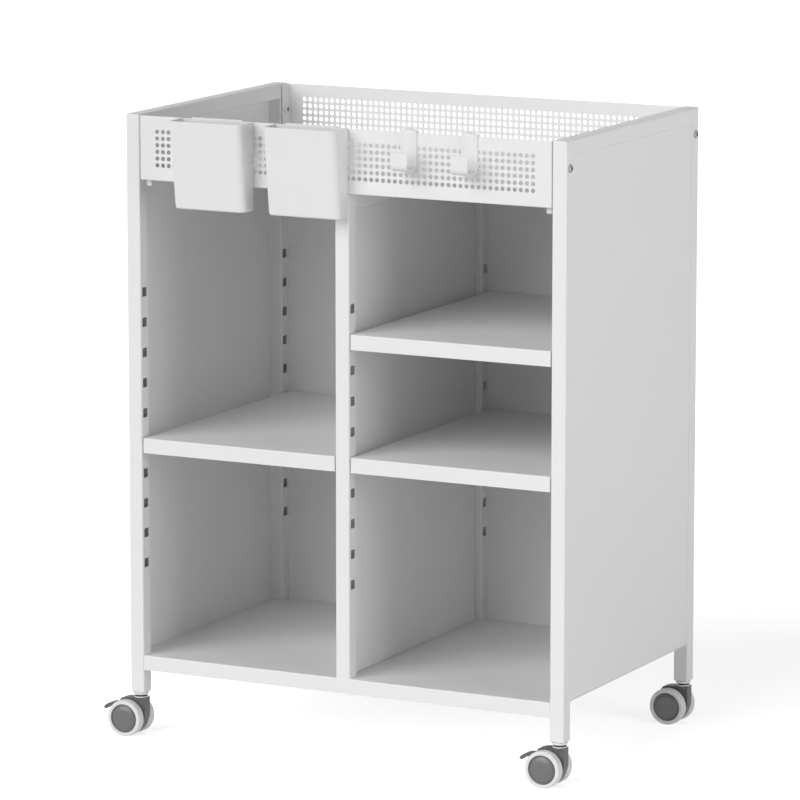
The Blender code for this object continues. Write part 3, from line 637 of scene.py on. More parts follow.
def mottled(name, colour_name, depth, patch, roughness, spread, grain, height, metallic=0.0):
    """A finish whose tone drifts in soft patches and whose surface has a fine grain.

    depth is the share by which the tone drifts, spread is how far the roughness varies, patch and grain
    are pattern sizes in metres, and height is how far the grain stands proud.
    """
    finish = bpy.data.materials.get(name)
    if finish:
        return finish
    base = getattr(bpy.context.scene.bookcase_finishes, colour_name)
    finish = bpy.data.materials.new(name)
    finish.use_nodes = True
    tree = finish.node_tree
    place = own_place(tree)

    drift = noise(tree, place, patch, PATCH_DETAIL)
    tone = add_node(tree, "ShaderNodeValToRGB", {"Fac": drift})
    dark, light = tone.color_ramp.elements
    dark.position = DRIFT_START
    dark.color = (*[part * (1 - depth) for part in base], 1)
    light.position = DRIFT_END
    light.color = (*base, 1)

    speck = noise(tree, place, grain, GRAIN_DETAIL)
    limits = {"To Min": roughness - spread, "To Max": roughness + spread}
    gloss = add_node(tree, "ShaderNodeMapRange", {"Value": speck, **limits})
    relief = add_node(tree, "ShaderNodeBump", {"Height": speck, "Distance": height})
    surface = {
        "Base Color": tone.outputs["Color"],
        "Metallic": metallic,
        "Roughness": gloss.outputs["Result"],
        "Normal": relief.outputs["Normal"],
    }
    feed(tree, tree.nodes["Principled BSDF"], surface)
    return finish


def powder_coat():
    """Satin white powder coat with its fine orange peel."""
    return mottled(
        "powder_coat",
        "powder_white",
        depth=0.012,
        patch=0.12,
        roughness=0.48,
        spread=0.06,
        grain=0.0014,
        height=0.00003,
    )


def white_plastic(name="white_plastic"):
    """White moulded plastic of the cups, hooks and collars."""
    return mottled(
        name,
        "moulded_white",
        depth=0.01,
        patch=0.05,
        roughness=0.40,
        spread=0.05,
        grain=0.0008,
        height=0.00001,
    )


def sealed_plastic(low, high):
    """White moulded plastic of the collars, with painted shade between two heights: a dark band that
    stands in for the groove's shadow.
    """
    finish = white_plastic("sealed_plastic")
    tree = finish.node_tree
    shader = tree.nodes["Principled BSDF"]
    plain = shader.inputs["Base Color"].links[0].from_socket
    place = add_node(tree, "ShaderNodeSeparateXYZ", {"Vector": own_place(tree)})
    limits = {"From Min": low, "From Max": high}
    height = add_node(tree, "ShaderNodeMapRange", {"Value": place.outputs["Z"], **limits})
    band = add_node(tree, "ShaderNodeValToRGB", {"Fac": height.outputs["Result"]})
    band.color_ramp.interpolation = "CONSTANT"
    below, above = band.color_ramp.elements
    below.color = (1, 1, 1, 1)
    above.color = (1, 1, 1, 1)
    above.position = 1 - SHADE_BORDER
    # Dark colour of the painted shade in the collar's groove
    seal = bpy.context.scene.bookcase_finishes.seal
    band.color_ramp.elements.new(SHADE_BORDER).color = (*seal, 1)
    both = add_node(tree, "ShaderNodeMix", {"Factor": 1}, data_type="RGBA", blend_type="MULTIPLY")
    first, second = [number for number, socket in enumerate(both.inputs) if socket.type == "RGBA"]
    feed(tree, both, {first: plain, second: band.outputs["Color"]})
    result = [socket for socket in both.outputs if socket.type == "RGBA"][0]
    feed(tree, shader, {"Base Color": result})
    return finish


def grey_plastic():
    """Dark grey moulded plastic with a fine texture, made darker than the hub caps as painted shade on
    the hoods and levers.
    """
    return mottled(
        "grey_plastic",
        "moulded_grey",
        depth=0.10,
        patch=0.008,
        roughness=0.46,
        spread=0.07,
        grain=0.0006,
        height=0.00002,
    )


def cap_plastic():
    """Smoother grey plastic of the hub caps: the hoods' plastic, painted a lighter grey for the light
    that falls on the caps.
    """
    return mottled(
        "cap_plastic",
        "cap_grey",
        depth=0.07,
        patch=0.010,
        roughness=0.28,
        spread=0.04,
        grain=0.0006,
        height=0.00001,
    )


def tyre_rubber():
    """Pale, matt tyre."""
    return mottled(
        "tyre_rubber",
        "tyre_grey",
        depth=0.06,
        patch=0.006,
        roughness=0.62,
        spread=0.08,
        grain=0.0005,
        height=0.00002,
    )


def zinc_plating():
    """Bright plating with a slight cloudiness."""
    return mottled(
        "zinc_plating",
        "plated_steel",
        depth=0.15,
        patch=0.003,
        roughness=0.45,
        spread=0.08,
        grain=0.0004,
        height=0.00001,
        metallic=1.0,
    )


# Carcass


def coat(piece, node):
    """Powder-coats a piece of the carcass and ties it to its node."""
    dress(piece, powder_coat(), "carcass", "powder_white", node)


def slot_cutter(face_x, middle_y, sizes):
    """A column of rounded slots through the tube's wall at one face."""
    reach = SLOT_REACH * sizes.tube_wall
    half_width = sizes.slot_width / 2
    half_height = sizes.slot_height / 2
    first = TOP - sizes.slot_drop
    cutter = block(
        "slots",
        (face_x - reach, middle_y - half_width, first - half_height),
        (face_x + reach, middle_y + half_width, first + half_height),
    )
    with editing(cutter, "EDGE"):
        pick(cutter, "edges", lambda edge: runs_along(edge, 0))
        bevel(sizes.slot_corner, segments=3)
    repeat(cutter, sizes.slot_count, (0, 0, -sizes.slot_pitch))
    return cutter


def upright(name, node, rail_y, slot_faces, sizes, weld=0.0):
    """A slotted square tube, square-edged where the cross tube meets it at rail_y and round elsewhere.

    Its lower end is rounded, or sinks by the depth of a weld into the sheet below it.
    """
    low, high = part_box(node)
    low.z -= weld
    joint = high.z - TUBE
    post = block(name, low, high)

    def is_round(edge):
        meets_rail = lies_at(edge, 1, rail_y)
        if runs_along(edge, 2):
            return not (meets_rail and middle_of(edge).z > joint)
        return lies_at(edge, 2, high.z) and not meets_rail

    with editing(post, "EDGE"):
        score((0, 0, joint), (0, 0, 1))
        pick(post, "edges", is_round)
        bevel(sizes.tube_corner, segments=4)
        if not weld:
            pick(post, "edges", lambda edge: lies_at(edge, 2, low.z))
            bevel(sizes.leg_end, segments=3)
    wall = Vector((sizes.tube_wall, sizes.tube_wall, 0))
    top_wall = Vector((0, 0, sizes.tube_wall))
    cut(post, block("bore", low + wall - 2 * top_wall, high - wall - top_wall))
    middle_y = (low.y + high.y) / 2
    for face_x in slot_faces(low, high):
        cut(post, slot_cutter(face_x, middle_y, sizes))
    return post


class BOOKCASE_OT_corner_posts(bpy.types.Operator):
    """Four slotted square tubes that are the legs and the uprights of the sides"""

    bl_idname = "bookcase.corner_posts"
    bl_label = "Corner Posts"

    def execute(self, context):
        sizes = context.scene.bookcase_carcass
        bolt_radius = context.scene.bookcase_rails.bolt_radius + sizes.fit
        bolt_height = TOP - context.scene.bookcase_rails.bolt_drop
        for name, twin, rail_y, middle_y in (
            ("left_front_post", "right_rear_post", FRONT + TUBE, FRONT + TUBE / 2),
            ("left_rear_post", "right_front_post", BACK - TUBE, BACK - TUBE / 2),
        ):
            post = upright(f"{name}_tube", name, rail_y, lambda low, high: [high.x], sizes)
            start = (LEFT - TUBE, middle_y, bolt_height)
            end = (LEFT + 2 * TUBE, middle_y, bolt_height)
            cut(post, rod("bolt_hole", bolt_radius, start, end, BORE_SIDES))
            soften(post, sizes.edge)
            other = copy_of(post, f"{twin}_tube", turn=HALF_TURN, pivot=MIDDLE)
            coat(post, name)
            coat(other, twin)
        return {"FINISHED"}


class BOOKCASE_OT_divider_posts(bpy.types.Operator):
    """Two square tubes between the bays, slotted on both faces"""

    bl_idname = "bookcase.divider_posts"
    bl_label = "Divider Posts"

    def execute(self, context):
        sizes = context.scene.bookcase_carcass
        post = upright(
            "divider_front_post_tube",
            "divider_front_post",
            FRONT + TUBE,
            lambda low, high: [low.x, high.x],
            sizes,
            weld=sizes.fit + sizes.sheet / 2,
        )
        soften(post, sizes.edge)
        other = copy_of(post, "divider_rear_post_tube", turn=HALF_TURN, pivot=MIDDLE)
        coat(post, "divider_front_post")
        coat(other, "divider_rear_post")
        return {"FINISHED"}


class BOOKCASE_OT_cross_tubes(bpy.types.Operator):
    """Three square tubes that run from the front posts to the rear posts"""

    bl_idname = "bookcase.cross_tubes"
    bl_label = "Cross Tubes"

    def execute(self, context):
        sizes = context.scene.bookcase_carcass
        for node in ("left_top_rail", "right_top_rail", "divider_top_rail"):
            low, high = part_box(node)
            low.y = FRONT + TUBE
            high.y = BACK - TUBE
            tube = block(f"{node}_tube", low, high)
            with editing(tube, "EDGE"):
                pick(tube, "edges", lambda edge: runs_along(edge, 1))
                bevel(sizes.tube_corner, segments=4)
            with editing(tube, "FACE"):
                pick(tube, "faces", lambda face: abs(face.normal.y) > FACING)
                bpy.ops.mesh.delete(type="FACE")
            thicken(tube, sizes.tube_wall)
            coat(tube, node)
        return {"FINISHED"}


class BOOKCASE_OT_panels(bpy.types.Operator):
    """Flat sheets of the sides, the divider and the back"""

    bl_idname = "bookcase.panels"
    bl_label = "Panels"

    def execute(self, context):
        sizes = context.scene.bookcase_carcass
        for node, outwards in (
            ("left_side_panel", (-1, 0, 0)),
            ("right_side_panel", (1, 0, 0)),
            ("divider_panel", (1, 0, 0)),
            ("left_back_panel", (0, 1, 0)),
            ("right_back_panel", (0, 1, 0)),
        ):
            low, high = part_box(node)
            outwards = Vector(outwards)
            for axis in range(3):
                if outwards[axis] == 0:
                    low[axis] -= sizes.fit
                    high[axis] += sizes.fit
            sunk = outwards * sizes.groove
            low -= Vector([min(part, 0) for part in sunk])
            high -= Vector([max(part, 0) for part in sunk])
            sheet = block(f"{node}_sheet", low, high)
            with editing(sheet, "FACE"):
                pick(sheet, "faces", lambda face: face.normal.dot(outwards) > FACING)
                bpy.ops.mesh.inset(thickness=sizes.groove)
                extrude(sunk)
            coat(sheet, node)
        return {"FINISHED"}


def folded_sheet(name, node, notch, front_lip, rear_lip, sizes):
    """A level sheet with notched corners and a lip folded down along its front and its rear."""
    low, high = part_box(node)
    sheet = flat(name, low, high, high.z)
    with editing(sheet, "FACE"):
        for x in (LEFT + notch.x, RIGHT - notch.x):
            score((x, 0, 0), (1, 0, 0))
        for y in (FRONT + notch.y, BACK - notch.y):
            score((0, y, 0), (0, 1, 0))
        pick(
            sheet,
            "faces",
            lambda face: abs(face.calc_center_median().x - MIDDLE.x) > RIGHT - notch.x - MIDDLE.x
            and abs(face.calc_center_median().y - MIDDLE.y) > BACK - notch.y - MIDDLE.y,
        )
        bpy.ops.mesh.delete(type="FACE")
    with editing(sheet, "EDGE"):
        for y, lip in ((low.y, front_lip), (high.y, rear_lip)):
            pick(sheet, "edges", lambda edge: lies_at(edge, 1, y) and lies_at(edge, 2, high.z))
            extrude((0, 0, -lip))
            pick(sheet, "edges", lambda edge: lies_at(edge, 1, y) and lies_at(edge, 2, high.z))
            bevel(sizes.fold, segments=4)
    thicken(sheet, sizes.sheet)
    soften(sheet, sizes.edge)
    coat(sheet, node)


class BOOKCASE_OT_bottom_shelf(bpy.types.Operator):
    """The welded floor of the bays"""

    bl_idname = "bookcase.bottom_shelf"
    bl_label = "Bottom Shelf"

    def execute(self, context):
        sizes = context.scene.bookcase_carcass
        notch = Vector((TUBE, TUBE))
        folded_sheet(
            "bottom_shelf_sheet", "bottom_shelf", notch, sizes.floor_lip, sizes.floor_rear_lip, sizes
        )
        return {"FINISHED"}


class BOOKCASE_OT_top_shelf(bpy.types.Operator):
    """The floor of the tray, which lies on the ledges of the rails"""

    bl_idname = "bookcase.top_shelf"
    bl_label = "Top Shelf"

    def execute(self, context):
        sizes = context.scene.bookcase_carcass
        flange = context.scene.bookcase_rails.sheet + sizes.fit
        notch = Vector((TUBE + sizes.fit + flange, TUBE + sizes.fit))
        folded_sheet(
            "top_shelf_sheet", "top_shelf", notch, sizes.tray_lip, sizes.tray_lip, sizes
        )
        return {"FINISHED"}


def shelf_hook(post_face, middle_y, seat, sizes):
    """A hook at a shelf's left end: a neck through the slot and a part that drops inside the post."""
    half = sizes.tab_thickness / 2
    inside = post_face - sizes.tube_wall - sizes.fit
    tip = inside - sizes.tab_width
    root = post_face + sizes.shelf_gap + sizes.sheet / 2
    hook = block(
        "shelf_hook",
        (tip, middle_y - half, seat),
        (root, middle_y + half, seat + sizes.tab_neck),
    )
    with editing(hook, "FACE"):
        score((inside, 0, 0), (1, 0, 0))
        pick(
            hook,
            "faces",
            lambda face: face.normal.z < -FACING and face.calc_center_median().x < inside,
        )
        extrude((0, 0, -sizes.fit - sizes.tab_drop))
    soften(hook, sizes.edge)
    return hook


class BOOKCASE_OT_hooked_shelves(bpy.types.Operator):
    """Three shelves with a hook at each corner, which hang in the slots of the posts"""

    bl_idname = "bookcase.hooked_shelves"
    bl_label = "Hooked Shelves"

    def execute(self, context):
        sizes = context.scene.bookcase_carcass
        for node, left_post, right_post in (
            ("left_shelf", "left_front_post", "divider_front_post"),
            ("right_upper_shelf", "divider_front_post", "right_front_post"),
            ("right_lower_shelf", "divider_front_post", "right_front_post"),
        ):
            low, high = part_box(node)
            left_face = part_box(left_post)[1].x
            right_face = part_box(right_post)[0].x
            low.x = left_face + sizes.shelf_gap
            high.x = right_face - sizes.shelf_gap
            shelf = flat(f"{node}_sheet", low, high, high.z)
            with editing(shelf, "EDGE"):
                pick(shelf, "edges", lambda edge: edge.is_boundary)
                extrude((0, 0, -sizes.shelf_lip))
                pick(shelf, "edges", lambda edge: not edge.is_boundary)
                bevel(sizes.fold, segments=4)
            thicken(shelf, sizes.sheet)
            soften(shelf, sizes.edge)
            slot_middle = high.z - sizes.shelf_rise
            seat = slot_middle - sizes.slot_height / 2 + sizes.fit
            hooks = []
            for middle_y in (FRONT + TUBE / 2, BACK - TUBE / 2):
                hook = shelf_hook(left_face, middle_y, seat, sizes)
                pivot = ((left_face + right_face) / 2, middle_y, 0)
                hooks += [hook, copy_of(hook, "shelf_hook", turn=HALF_TURN, pivot=pivot)]
            gather(shelf, *hooks)
            dress(shelf, powder_coat(), node, "powder_white", node)
        return {"FINISHED"}


# Rails and bolts


def hole_cell(name, centre, sizes):
    """One pitch of the perforated sheet, upright and facing the front, with its round hole."""
    facing_front = (QUARTER_TURN, 0, 0)
    bpy.ops.mesh.primitive_grid_add(
        x_subdivisions=4, y_subdivisions=4, size=1, location=centre, rotation=facing_front
    )
    bpy.context.object.scale = (sizes.column_pitch, sizes.row_pitch, 1)
    cell = added(name)
    with editing(cell, "VERT"):
        pick(cell, "verts", lambda corner: not corner.is_boundary)
        bpy.ops.mesh.delete(type="VERT")
        bpy.ops.mesh.primitive_circle_add(
            vertices=HOLE_SIDES, radius=sizes.hole / 2, location=centre, rotation=facing_front
        )
        pick_all()
        bpy.ops.mesh.bridge_edge_loops()
        face_outwards()
        faces = bmesh.from_edit_mesh(cell.data).faces
        faces.ensure_lookup_table()
        if faces[0].normal.y > 0:
            bpy.ops.mesh.flip_normals()
    return cell


def rail_sheet(name, sizes):
    """The front rail: a perforated face with end flanges and a ledge, folded from one sheet."""
    low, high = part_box("front_rail")
    low.x += sizes.end_gap
    high.x -= sizes.end_gap
    bottom = low.z + sizes.lug_drop
    first_x = MIDDLE.x - sizes.column_pitch * (sizes.columns - 1) / 2
    first_z = RAIL_TOP - sizes.row_drop
    rail = hole_cell(name, (first_x, low.y, first_z), sizes)
    repeat(rail, sizes.columns, (sizes.column_pitch, 0, 0), merge=True)
    repeat(rail, sizes.rows, (0, 0, -sizes.row_pitch), merge=True)

    field_left = first_x - sizes.column_pitch / 2
    field_right = 2 * MIDDLE.x - field_left
    field_top = first_z + sizes.row_pitch / 2
    field_bottom = field_top - sizes.rows * sizes.row_pitch

    def on_fold(edge):
        sides = (
            lies_at(edge, 0, low.x) or lies_at(edge, 0, high.x),
            lies_at(edge, 1, low.y),
            lies_at(edge, 2, bottom),
        )
        return sum(sides) > 1

    def on_outline(edge):
        sides = (lies_at(edge, 0, low.x), lies_at(edge, 0, high.x), lies_at(edge, 2, bottom))
        return edge.is_boundary and any(sides)

    with editing(rail, "EDGE"):
        for axis, start, end in (
            (0, field_left, low.x),
            (0, field_right, high.x),
            (2, field_top, high.z),
            (2, field_bottom, bottom),
        ):
            move = [0, 0, 0]
            move[axis] = end - start
            pick(rail, "edges", lambda edge: edge.is_boundary and lies_at(edge, axis, start))
            extrude(move)
        pick(rail, "edges", on_outline)
        extrude((0, high.y - low.y, 0))
        pick(rail, "edges", on_fold)
        bevel(sizes.fold, segments=3)
    thicken(rail, sizes.sheet)
    return rail, low, high, bottom


class BOOKCASE_OT_rails(bpy.types.Operator):
    """Perforated rails at the front and the rear of the top tray, with lugs and threaded bosses"""

    bl_idname = "bookcase.rails"
    bl_label = "Tray Rails"

    def execute(self, context):
        sizes = context.scene.bookcase_rails
        fit = context.scene.bookcase_carcass.fit
        rail, low, high, bottom = rail_sheet("front_rail_sheet", sizes)

        lug_left = LEFT + TUBE + sizes.lug_inset
        lug_front = FRONT + sizes.lug_setback
        lug = block(
            "lug",
            (lug_left, lug_front, low.z),
            (lug_left + sizes.lug_width, lug_front + sizes.lug_thickness, bottom + sizes.sheet / 2),
        )
        soften(lug, sizes.lug_round, segments=3)
        across = 2 * (MIDDLE.x - lug_left) - sizes.lug_width
        other_lug = copy_of(lug, "lug", move=(across, 0, 0))

        axis = Vector((0, FRONT + TUBE / 2, TOP - sizes.bolt_drop))
        start = low.x + sizes.sheet / 2
        end = low.x + sizes.sheet + sizes.boss_length
        chamfer = sizes.lug_round
        bore = sizes.bolt_radius + fit
        outline = [
            (start, bore),
            (start, sizes.boss_radius),
            (end - chamfer, sizes.boss_radius),
            (end, sizes.boss_radius - chamfer),
            (end, bore),
            (start, bore),
        ]
        profile = [axis + Vector((x, 0, radius)) for x, radius in outline]
        boss = spun("boss", profile, axis, (1, 0, 0), BOLT_SIDES)
        pivot = (MIDDLE.x, axis.y, 0)
        other_boss = copy_of(boss, "boss", turn=HALF_TURN, pivot=pivot)

        gather(rail, lug, other_lug, boss, other_boss)
        rear = copy_of(rail, "rear_rail_sheet", turn=HALF_TURN, pivot=MIDDLE)
        coat(rail, "front_rail")
        coat(rear, "rear_rail")
        return {"FINISHED"}


class BOOKCASE_OT_bolts(bpy.types.Operator):
    """Four button-head bolts that hold the rails to the posts"""

    bl_idname = "bookcase.bolts"
    bl_label = "Rail Bolts"

    def execute(self, context):
        sizes = context.scene.bookcase_rails
        low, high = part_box("right_front_bolt")
        axis = Vector((0, (low.y + high.y) / 2, (low.z + high.z) / 2))
        seat = high.x - sizes.head_height
        dome = [
            (seat + sizes.head_height * up, sizes.head_radius * across)
            for across, up in arc((0, 0), 1, QUARTER_TURN, 0, steps=8)
        ]
        outline = [*dome, (seat, sizes.bolt_radius), (low.x, sizes.bolt_radius), (low.x, 0)]
        profile = [axis + Vector((x, 0, radius)) for x, radius in outline]
        bolt = spun("right_front_bolt_steel", profile, axis, (1, 0, 0), BOLT_SIDES)
        socket = rod(
            "socket",
            sizes.socket_radius,
            axis + Vector((high.x - sizes.socket_depth, 0, 0)),
            axis + Vector((high.x + sizes.socket_depth, 0, 0)),
            sides=6,
        )
        cut(bolt, socket)
        depth = BACK - FRONT - TUBE
        right_rear = copy_of(bolt, "right_rear_bolt_steel", move=(0, depth, 0))
        left_rear = copy_of(bolt, "left_rear_bolt_steel", turn=HALF_TURN, pivot=MIDDLE)
        left_front = copy_of(right_rear, "left_front_bolt_steel", turn=HALF_TURN, pivot=MIDDLE)
        for piece, node in (
            (bolt, "right_front_bolt"),
            (right_rear, "right_rear_bolt"),
            (left_rear, "left_rear_bolt"),
            (left_front, "left_front_bolt"),
        ):
            dress(piece, zinc_plating(), "carcass", "plated_steel", node)
        return {"FINISHED"}


# Cups and hooks


def hang_pair(left, kind, step):
    """Finishes the left cup or hook, and a copy of it one step to the right."""
    right = copy_of(left, f"right_{kind}_moulding", move=(step, 0, 0))
    for piece, node in ((left, f"left_{kind}"), (right, f"right_{kind}")):
        dress(piece, white_plastic(), node, "moulded_white", node)


def cup_shell(name, low, high, rim, back, sizes):
    """The cup's tapered body: round at its front corners and its base, open at the rim."""
    cup = block(name, low, (high.x, back, rim))
    width = high.x - low.x
    depth = back - low.y
    with editing(cup, "FACE"):
        pick(cup, "faces", lambda face: lies_at(face, 2, low.z))
        bpy.ops.transform.resize(
            value=(1 - 2 * sizes.cup_side_taper / width, 1 - sizes.cup_front_taper / depth, 1),
            center_override=((low.x + high.x) / 2, back, low.z),
        )

    def is_front_corner(edge):
        rises = abs(edge.verts[0].co.z - edge.verts[1].co.z) > depth
        return rises and not lies_at(edge, 1, back)

    with editing(cup, "EDGE"):
        pick(cup, "edges", is_front_corner)
        bevel(sizes.cup_corner, segments=8)
        pick(cup, "edges", lambda edge: lies_at(edge, 2, low.z) and not lies_at(edge, 1, back))
        bevel(sizes.cup_base, segments=5)
    with editing(cup, "FACE"):
        pick(cup, "faces", lambda face: lies_at(face, 2, rim))
        bpy.ops.mesh.delete(type="FACE")
    thicken(cup, sizes.cup_wall)
    soften(cup, sizes.cup_rim, segments=3)
    return cup


def cup_lip(low, high, back, rear, sizes):
    """The lip that rises from the cup's back, over the rail and down behind it."""
    half = sizes.lip_width / 2
    middle = (low.x + high.x) / 2
    front = back - sizes.lip_wall
    end = RAIL_TOP - sizes.lip_drop
    outline = [(front, end), (front, high.z), (rear, high.z), (rear, end)]
    lip = drawn("lip", [(middle - half, y, z) for y, z in outline])
    with editing(lip, "EDGE"):
        pick_all()
        extrude((sizes.lip_width, 0, 0))
        pick(lip, "edges", lambda edge: runs_along(edge, 0) and lies_at(edge, 2, high.z))
        bevel(sizes.lip_bend, segments=4)
        face_outwards()
    thicken(lip, sizes.lip_wall)
    soften(lip, sizes.lip_edge)
    return lip


class BOOKCASE_OT_cups(bpy.types.Operator):
    """Two tapered cups that hang over the front rail"""

    bl_idname = "bookcase.cups"
    bl_label = "Hanging Cups"

    def execute(self, context):
        sizes = context.scene.bookcase_accessories
        low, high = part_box("left_cup")
        back = FRONT - context.scene.bookcase_carcass.fit
        cup = cup_shell("left_cup_moulding", low, high, RAIL_TOP, back, sizes)
        gather(cup, cup_lip(low, high, back, high.y, sizes))
        hang_pair(cup, "cup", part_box("right_cup")[0].x - low.x)
        return {"FINISHED"}


class BOOKCASE_OT_hooks(bpy.types.Operator):
    """Two hooks whose straps bend over the front rail"""

    bl_idname = "bookcase.hooks"
    bl_label = "Hanging Hooks"

    def execute(self, context):
        sizes = context.scene.bookcase_accessories
        low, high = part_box("left_hook")
        half = sizes.hook_thickness / 2
        crest_bend = half + sizes.hook_crest
        base_bend = half + sizes.hook_base
        rear = high.y - half
        crest = high.z - half
        strap = FRONT - context.scene.bookcase_carcass.fit - half
        base = low.z + half
        tip = low.y + half
        tip_top = low.z + sizes.hook_tip
        lip_end = RAIL_TOP - sizes.hook_lip
        middle = (low.x + high.x) / 2

        half_width = (high.x - low.x) / 2
        section = [(low.x, rear - half, lip_end), (high.x, rear - half, lip_end)]
        steps = 12
        for step in range(steps + 1):
            across = 1 - 2 * step / steps
            outside = rear + half - sizes.hook_crown * across**2
            section.append((middle + half_width * across, outside, lip_end))
        hook = drawn("left_hook_moulding", section)
        with editing(hook, "VERT"):
            pick_all()
            bpy.ops.mesh.edge_face_add()
        with editing(hook, "FACE"):
            pick_all()
            extrude((0, 0, crest - crest_bend - lip_end))
            sweep(QUARTER_TURN, (middle, rear - crest_bend, crest - crest_bend), steps=6)
            extrude((0, strap - rear + 2 * crest_bend, 0))
            sweep(QUARTER_TURN, (middle, strap + crest_bend, crest - crest_bend), steps=6)
            extrude((0, 0, base + base_bend - crest + crest_bend))
            sweep(-QUARTER_TURN, (middle, strap - base_bend, base + base_bend), steps=8)
            extrude((0, tip - strap + 2 * base_bend, 0))
            sweep(-QUARTER_TURN, (middle, tip + base_bend, base + base_bend), steps=8)
            extrude((0, 0, tip_top - base - base_bend))
            pick_all()
            bpy.ops.mesh.remove_doubles(threshold=CLOSE)
            face_outwards()

        def is_tip_corner(edge):
            at_side = lies_at(edge, 0, low.x) or lies_at(edge, 0, high.x)
            return at_side and lies_at(edge, 2, tip_top) and middle_of(edge).y < strap

        with editing(hook, "EDGE"):
            pick(hook, "edges", is_tip_corner)
            bevel(sizes.hook_corner, segments=5)
        soften(hook, sizes.hook_edge, segments=3)
        hang_pair(hook, "hook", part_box("right_hook")[0].x - low.x)
        return {"FINISHED"}


# Casters, modelled about a swivel axis at X = Y = 0 and then copied to each leg


def swivel_axis(caster):
    """Place of a caster's swivel axis on the floor."""
    low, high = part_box(f"caster_{caster}_stem")
    return Vector((*((low + high) / 2).xy, 0))


def hood_top(sizes):
    """Height of the top of the hood's neck."""
    return 2 * sizes.wheel_radius + sizes.hood_margin + sizes.neck_rise


def lever_pivot(sizes):
    """The lever's pivot as (x, z)."""
    radius = sizes.wheel_radius + sizes.hood_margin - sizes.pivot_depth
    return (
        radius * math.cos(sizes.pivot_angle) - sizes.trail,
        radius * math.sin(sizes.pivot_angle) + sizes.wheel_radius,
    )


def place_copies(shape, finish, slot, targets):
    """Copies a shape to every target of (node, body, move, turn, pivot) and removes the shape."""
    for node, body, move, turn, pivot in targets:
        piece = copy_of(shape, f"{node}_piece", move, turn, pivot)
        dress(piece, finish, body, slot, node)
    discard(shape)


def caster_targets(part, body, row=""):
    """Targets for one part of the casters: of all four, or of the front or rear row."""
    return [
        (f"caster_{caster}_{part}", body.format(caster), swivel_axis(caster), 0.0, ORIGIN)
        for caster in CASTERS
        if caster.startswith(row)
    ]


class BOOKCASE_OT_caster_stems(bpy.types.Operator):
    """The plug in each leg, the grooved collar under it and the swivel pin"""

    bl_idname = "bookcase.caster_stems"
    bl_label = "Caster Stems"

    def execute(self, context):
        sizes = context.scene.bookcase_casters
        carcass = context.scene.bookcase_carcass
        plug = TUBE / 2 - carcass.tube_wall - carcass.fit
        low = hood_top(sizes) + carcass.fit
        top = LEG_END - carcass.fit
        pin_end = hood_top(sizes) - sizes.pin_length
        bend = sizes.shoulder_round
        shoulder_low = top - sizes.shoulder_height
        corner = (sizes.shoulder_radius - bend, shoulder_low + bend)
        outline = [
            (0, LEG_END + sizes.plug_length),
            (plug, LEG_END + sizes.plug_length),
            (plug, top),
            (sizes.shoulder_radius, top),
            *arc(corner, bend, 0, -QUARTER_TURN, steps=5),
            (sizes.groove_radius, shoulder_low),
            (sizes.groove_radius, low + sizes.ring_height),
            (sizes.ring_radius, low + sizes.ring_height),
            (sizes.ring_radius, low),
            (sizes.pin_radius, low),
            (sizes.pin_radius, pin_end),
            (0, pin_end),
        ]
        profile = [(radius, 0, height) for radius, height in outline]
        stem = spun("stem", profile, ORIGIN, (0, 0, 1), COLLAR_SIDES)
        soften(stem, sizes.collar_edge)
        # Painted shade on the collar's groove, between the ring and the shoulder
        seal = sealed_plastic(low + sizes.ring_height - CLOSE, shoulder_low + CLOSE)
        place_copies(stem, seal, "moulded_white", caster_targets("stem", "carcass"))
        return {"FINISHED"}


def lever_notch(sizes, fit):
    """A cutter for the hood: a round seat for the lever's boss and the room that its blade sweeps."""
    pivot = lever_pivot(sizes)
    root = HALF_TURN - math.atan2(sizes.lever_arch, sizes.crown_reach)
    spread = math.asin(sizes.lever_thickness / 2 / sizes.lever_boss)
    tip = HALF_TURN + math.atan2(sizes.lever_fall, sizes.lever_reach)
    high = root - spread - sizes.notch_margin
    low = max(tip, root + spread) + sizes.lever_travel + sizes.notch_margin
    outline = arc(pivot, sizes.lever_boss + fit, low, high + FULL_TURN, steps=20)
    outline += arc(pivot, sizes.lever_reach, high, low, steps=8)
    return slab("notch", outline, sizes.hood_width)


def caster_hood(sizes, fit, with_notch):
    """The hood between the wheels, bored for the pin and the axle."""
    axle = (-sizes.trail, sizes.wheel_radius)
    lower = sizes.wheel_radius - sizes.body_margin
    hood_radius = sizes.wheel_radius + sizes.hood_margin
    top = hood_top(sizes)
    neck = sizes.neck_radius
    outline = [(neck, top), (neck, sizes.wheel_radius + sizes.body_margin)]
    outline += arc(axle, lower, sizes.lower_front, sizes.lower_rear, steps=36)
    outline += arc(axle, hood_radius, sizes.hood_rear, sizes.hood_front, steps=16)
    outline.append((-neck, top))
    half = sizes.hood_width / 2
    hood = slab("hood", outline, half)
    seat_low = 2 * sizes.wheel_radius + fit
    fuse(hood, rod("seat", neck, (0, 0, seat_low), (0, 0, top), COLLAR_SIDES))
    pin_low = top - sizes.pin_length - fit
    cut(
        hood,
        rod("pin_bore", sizes.pin_radius + fit, (0, 0, pin_low), (0, 0, top + half), BORE_SIDES),
        rod(
            "axle_bore",
            sizes.axle_radius + fit,
            (axle[0], -2 * half, axle[1]),
            (axle[0], 2 * half, axle[1]),
            BORE_SIDES,
        ),
    )
    if with_notch:
        cut(hood, lever_notch(sizes, fit))
    soften(hood, sizes.hood_edge, segments=3)
    return hood


class BOOKCASE_OT_caster_hoods(bpy.types.Operator):
    """The dark hoods between the wheels, notched for the brake levers at the front"""

    bl_idname = "bookcase.caster_hoods"
    bl_label = "Caster Hoods"

    def execute(self, context):
        sizes = context.scene.bookcase_casters
        fit = context.scene.bookcase_carcass.fit
        for row in ("front", "rear"):
            hood = caster_hood(sizes, fit, with_notch=row == "front")
            targets = caster_targets("body", "{}_swivel", row)
            place_copies(hood, grey_plastic(), "moulded_grey", targets)
        return {"FINISHED"}


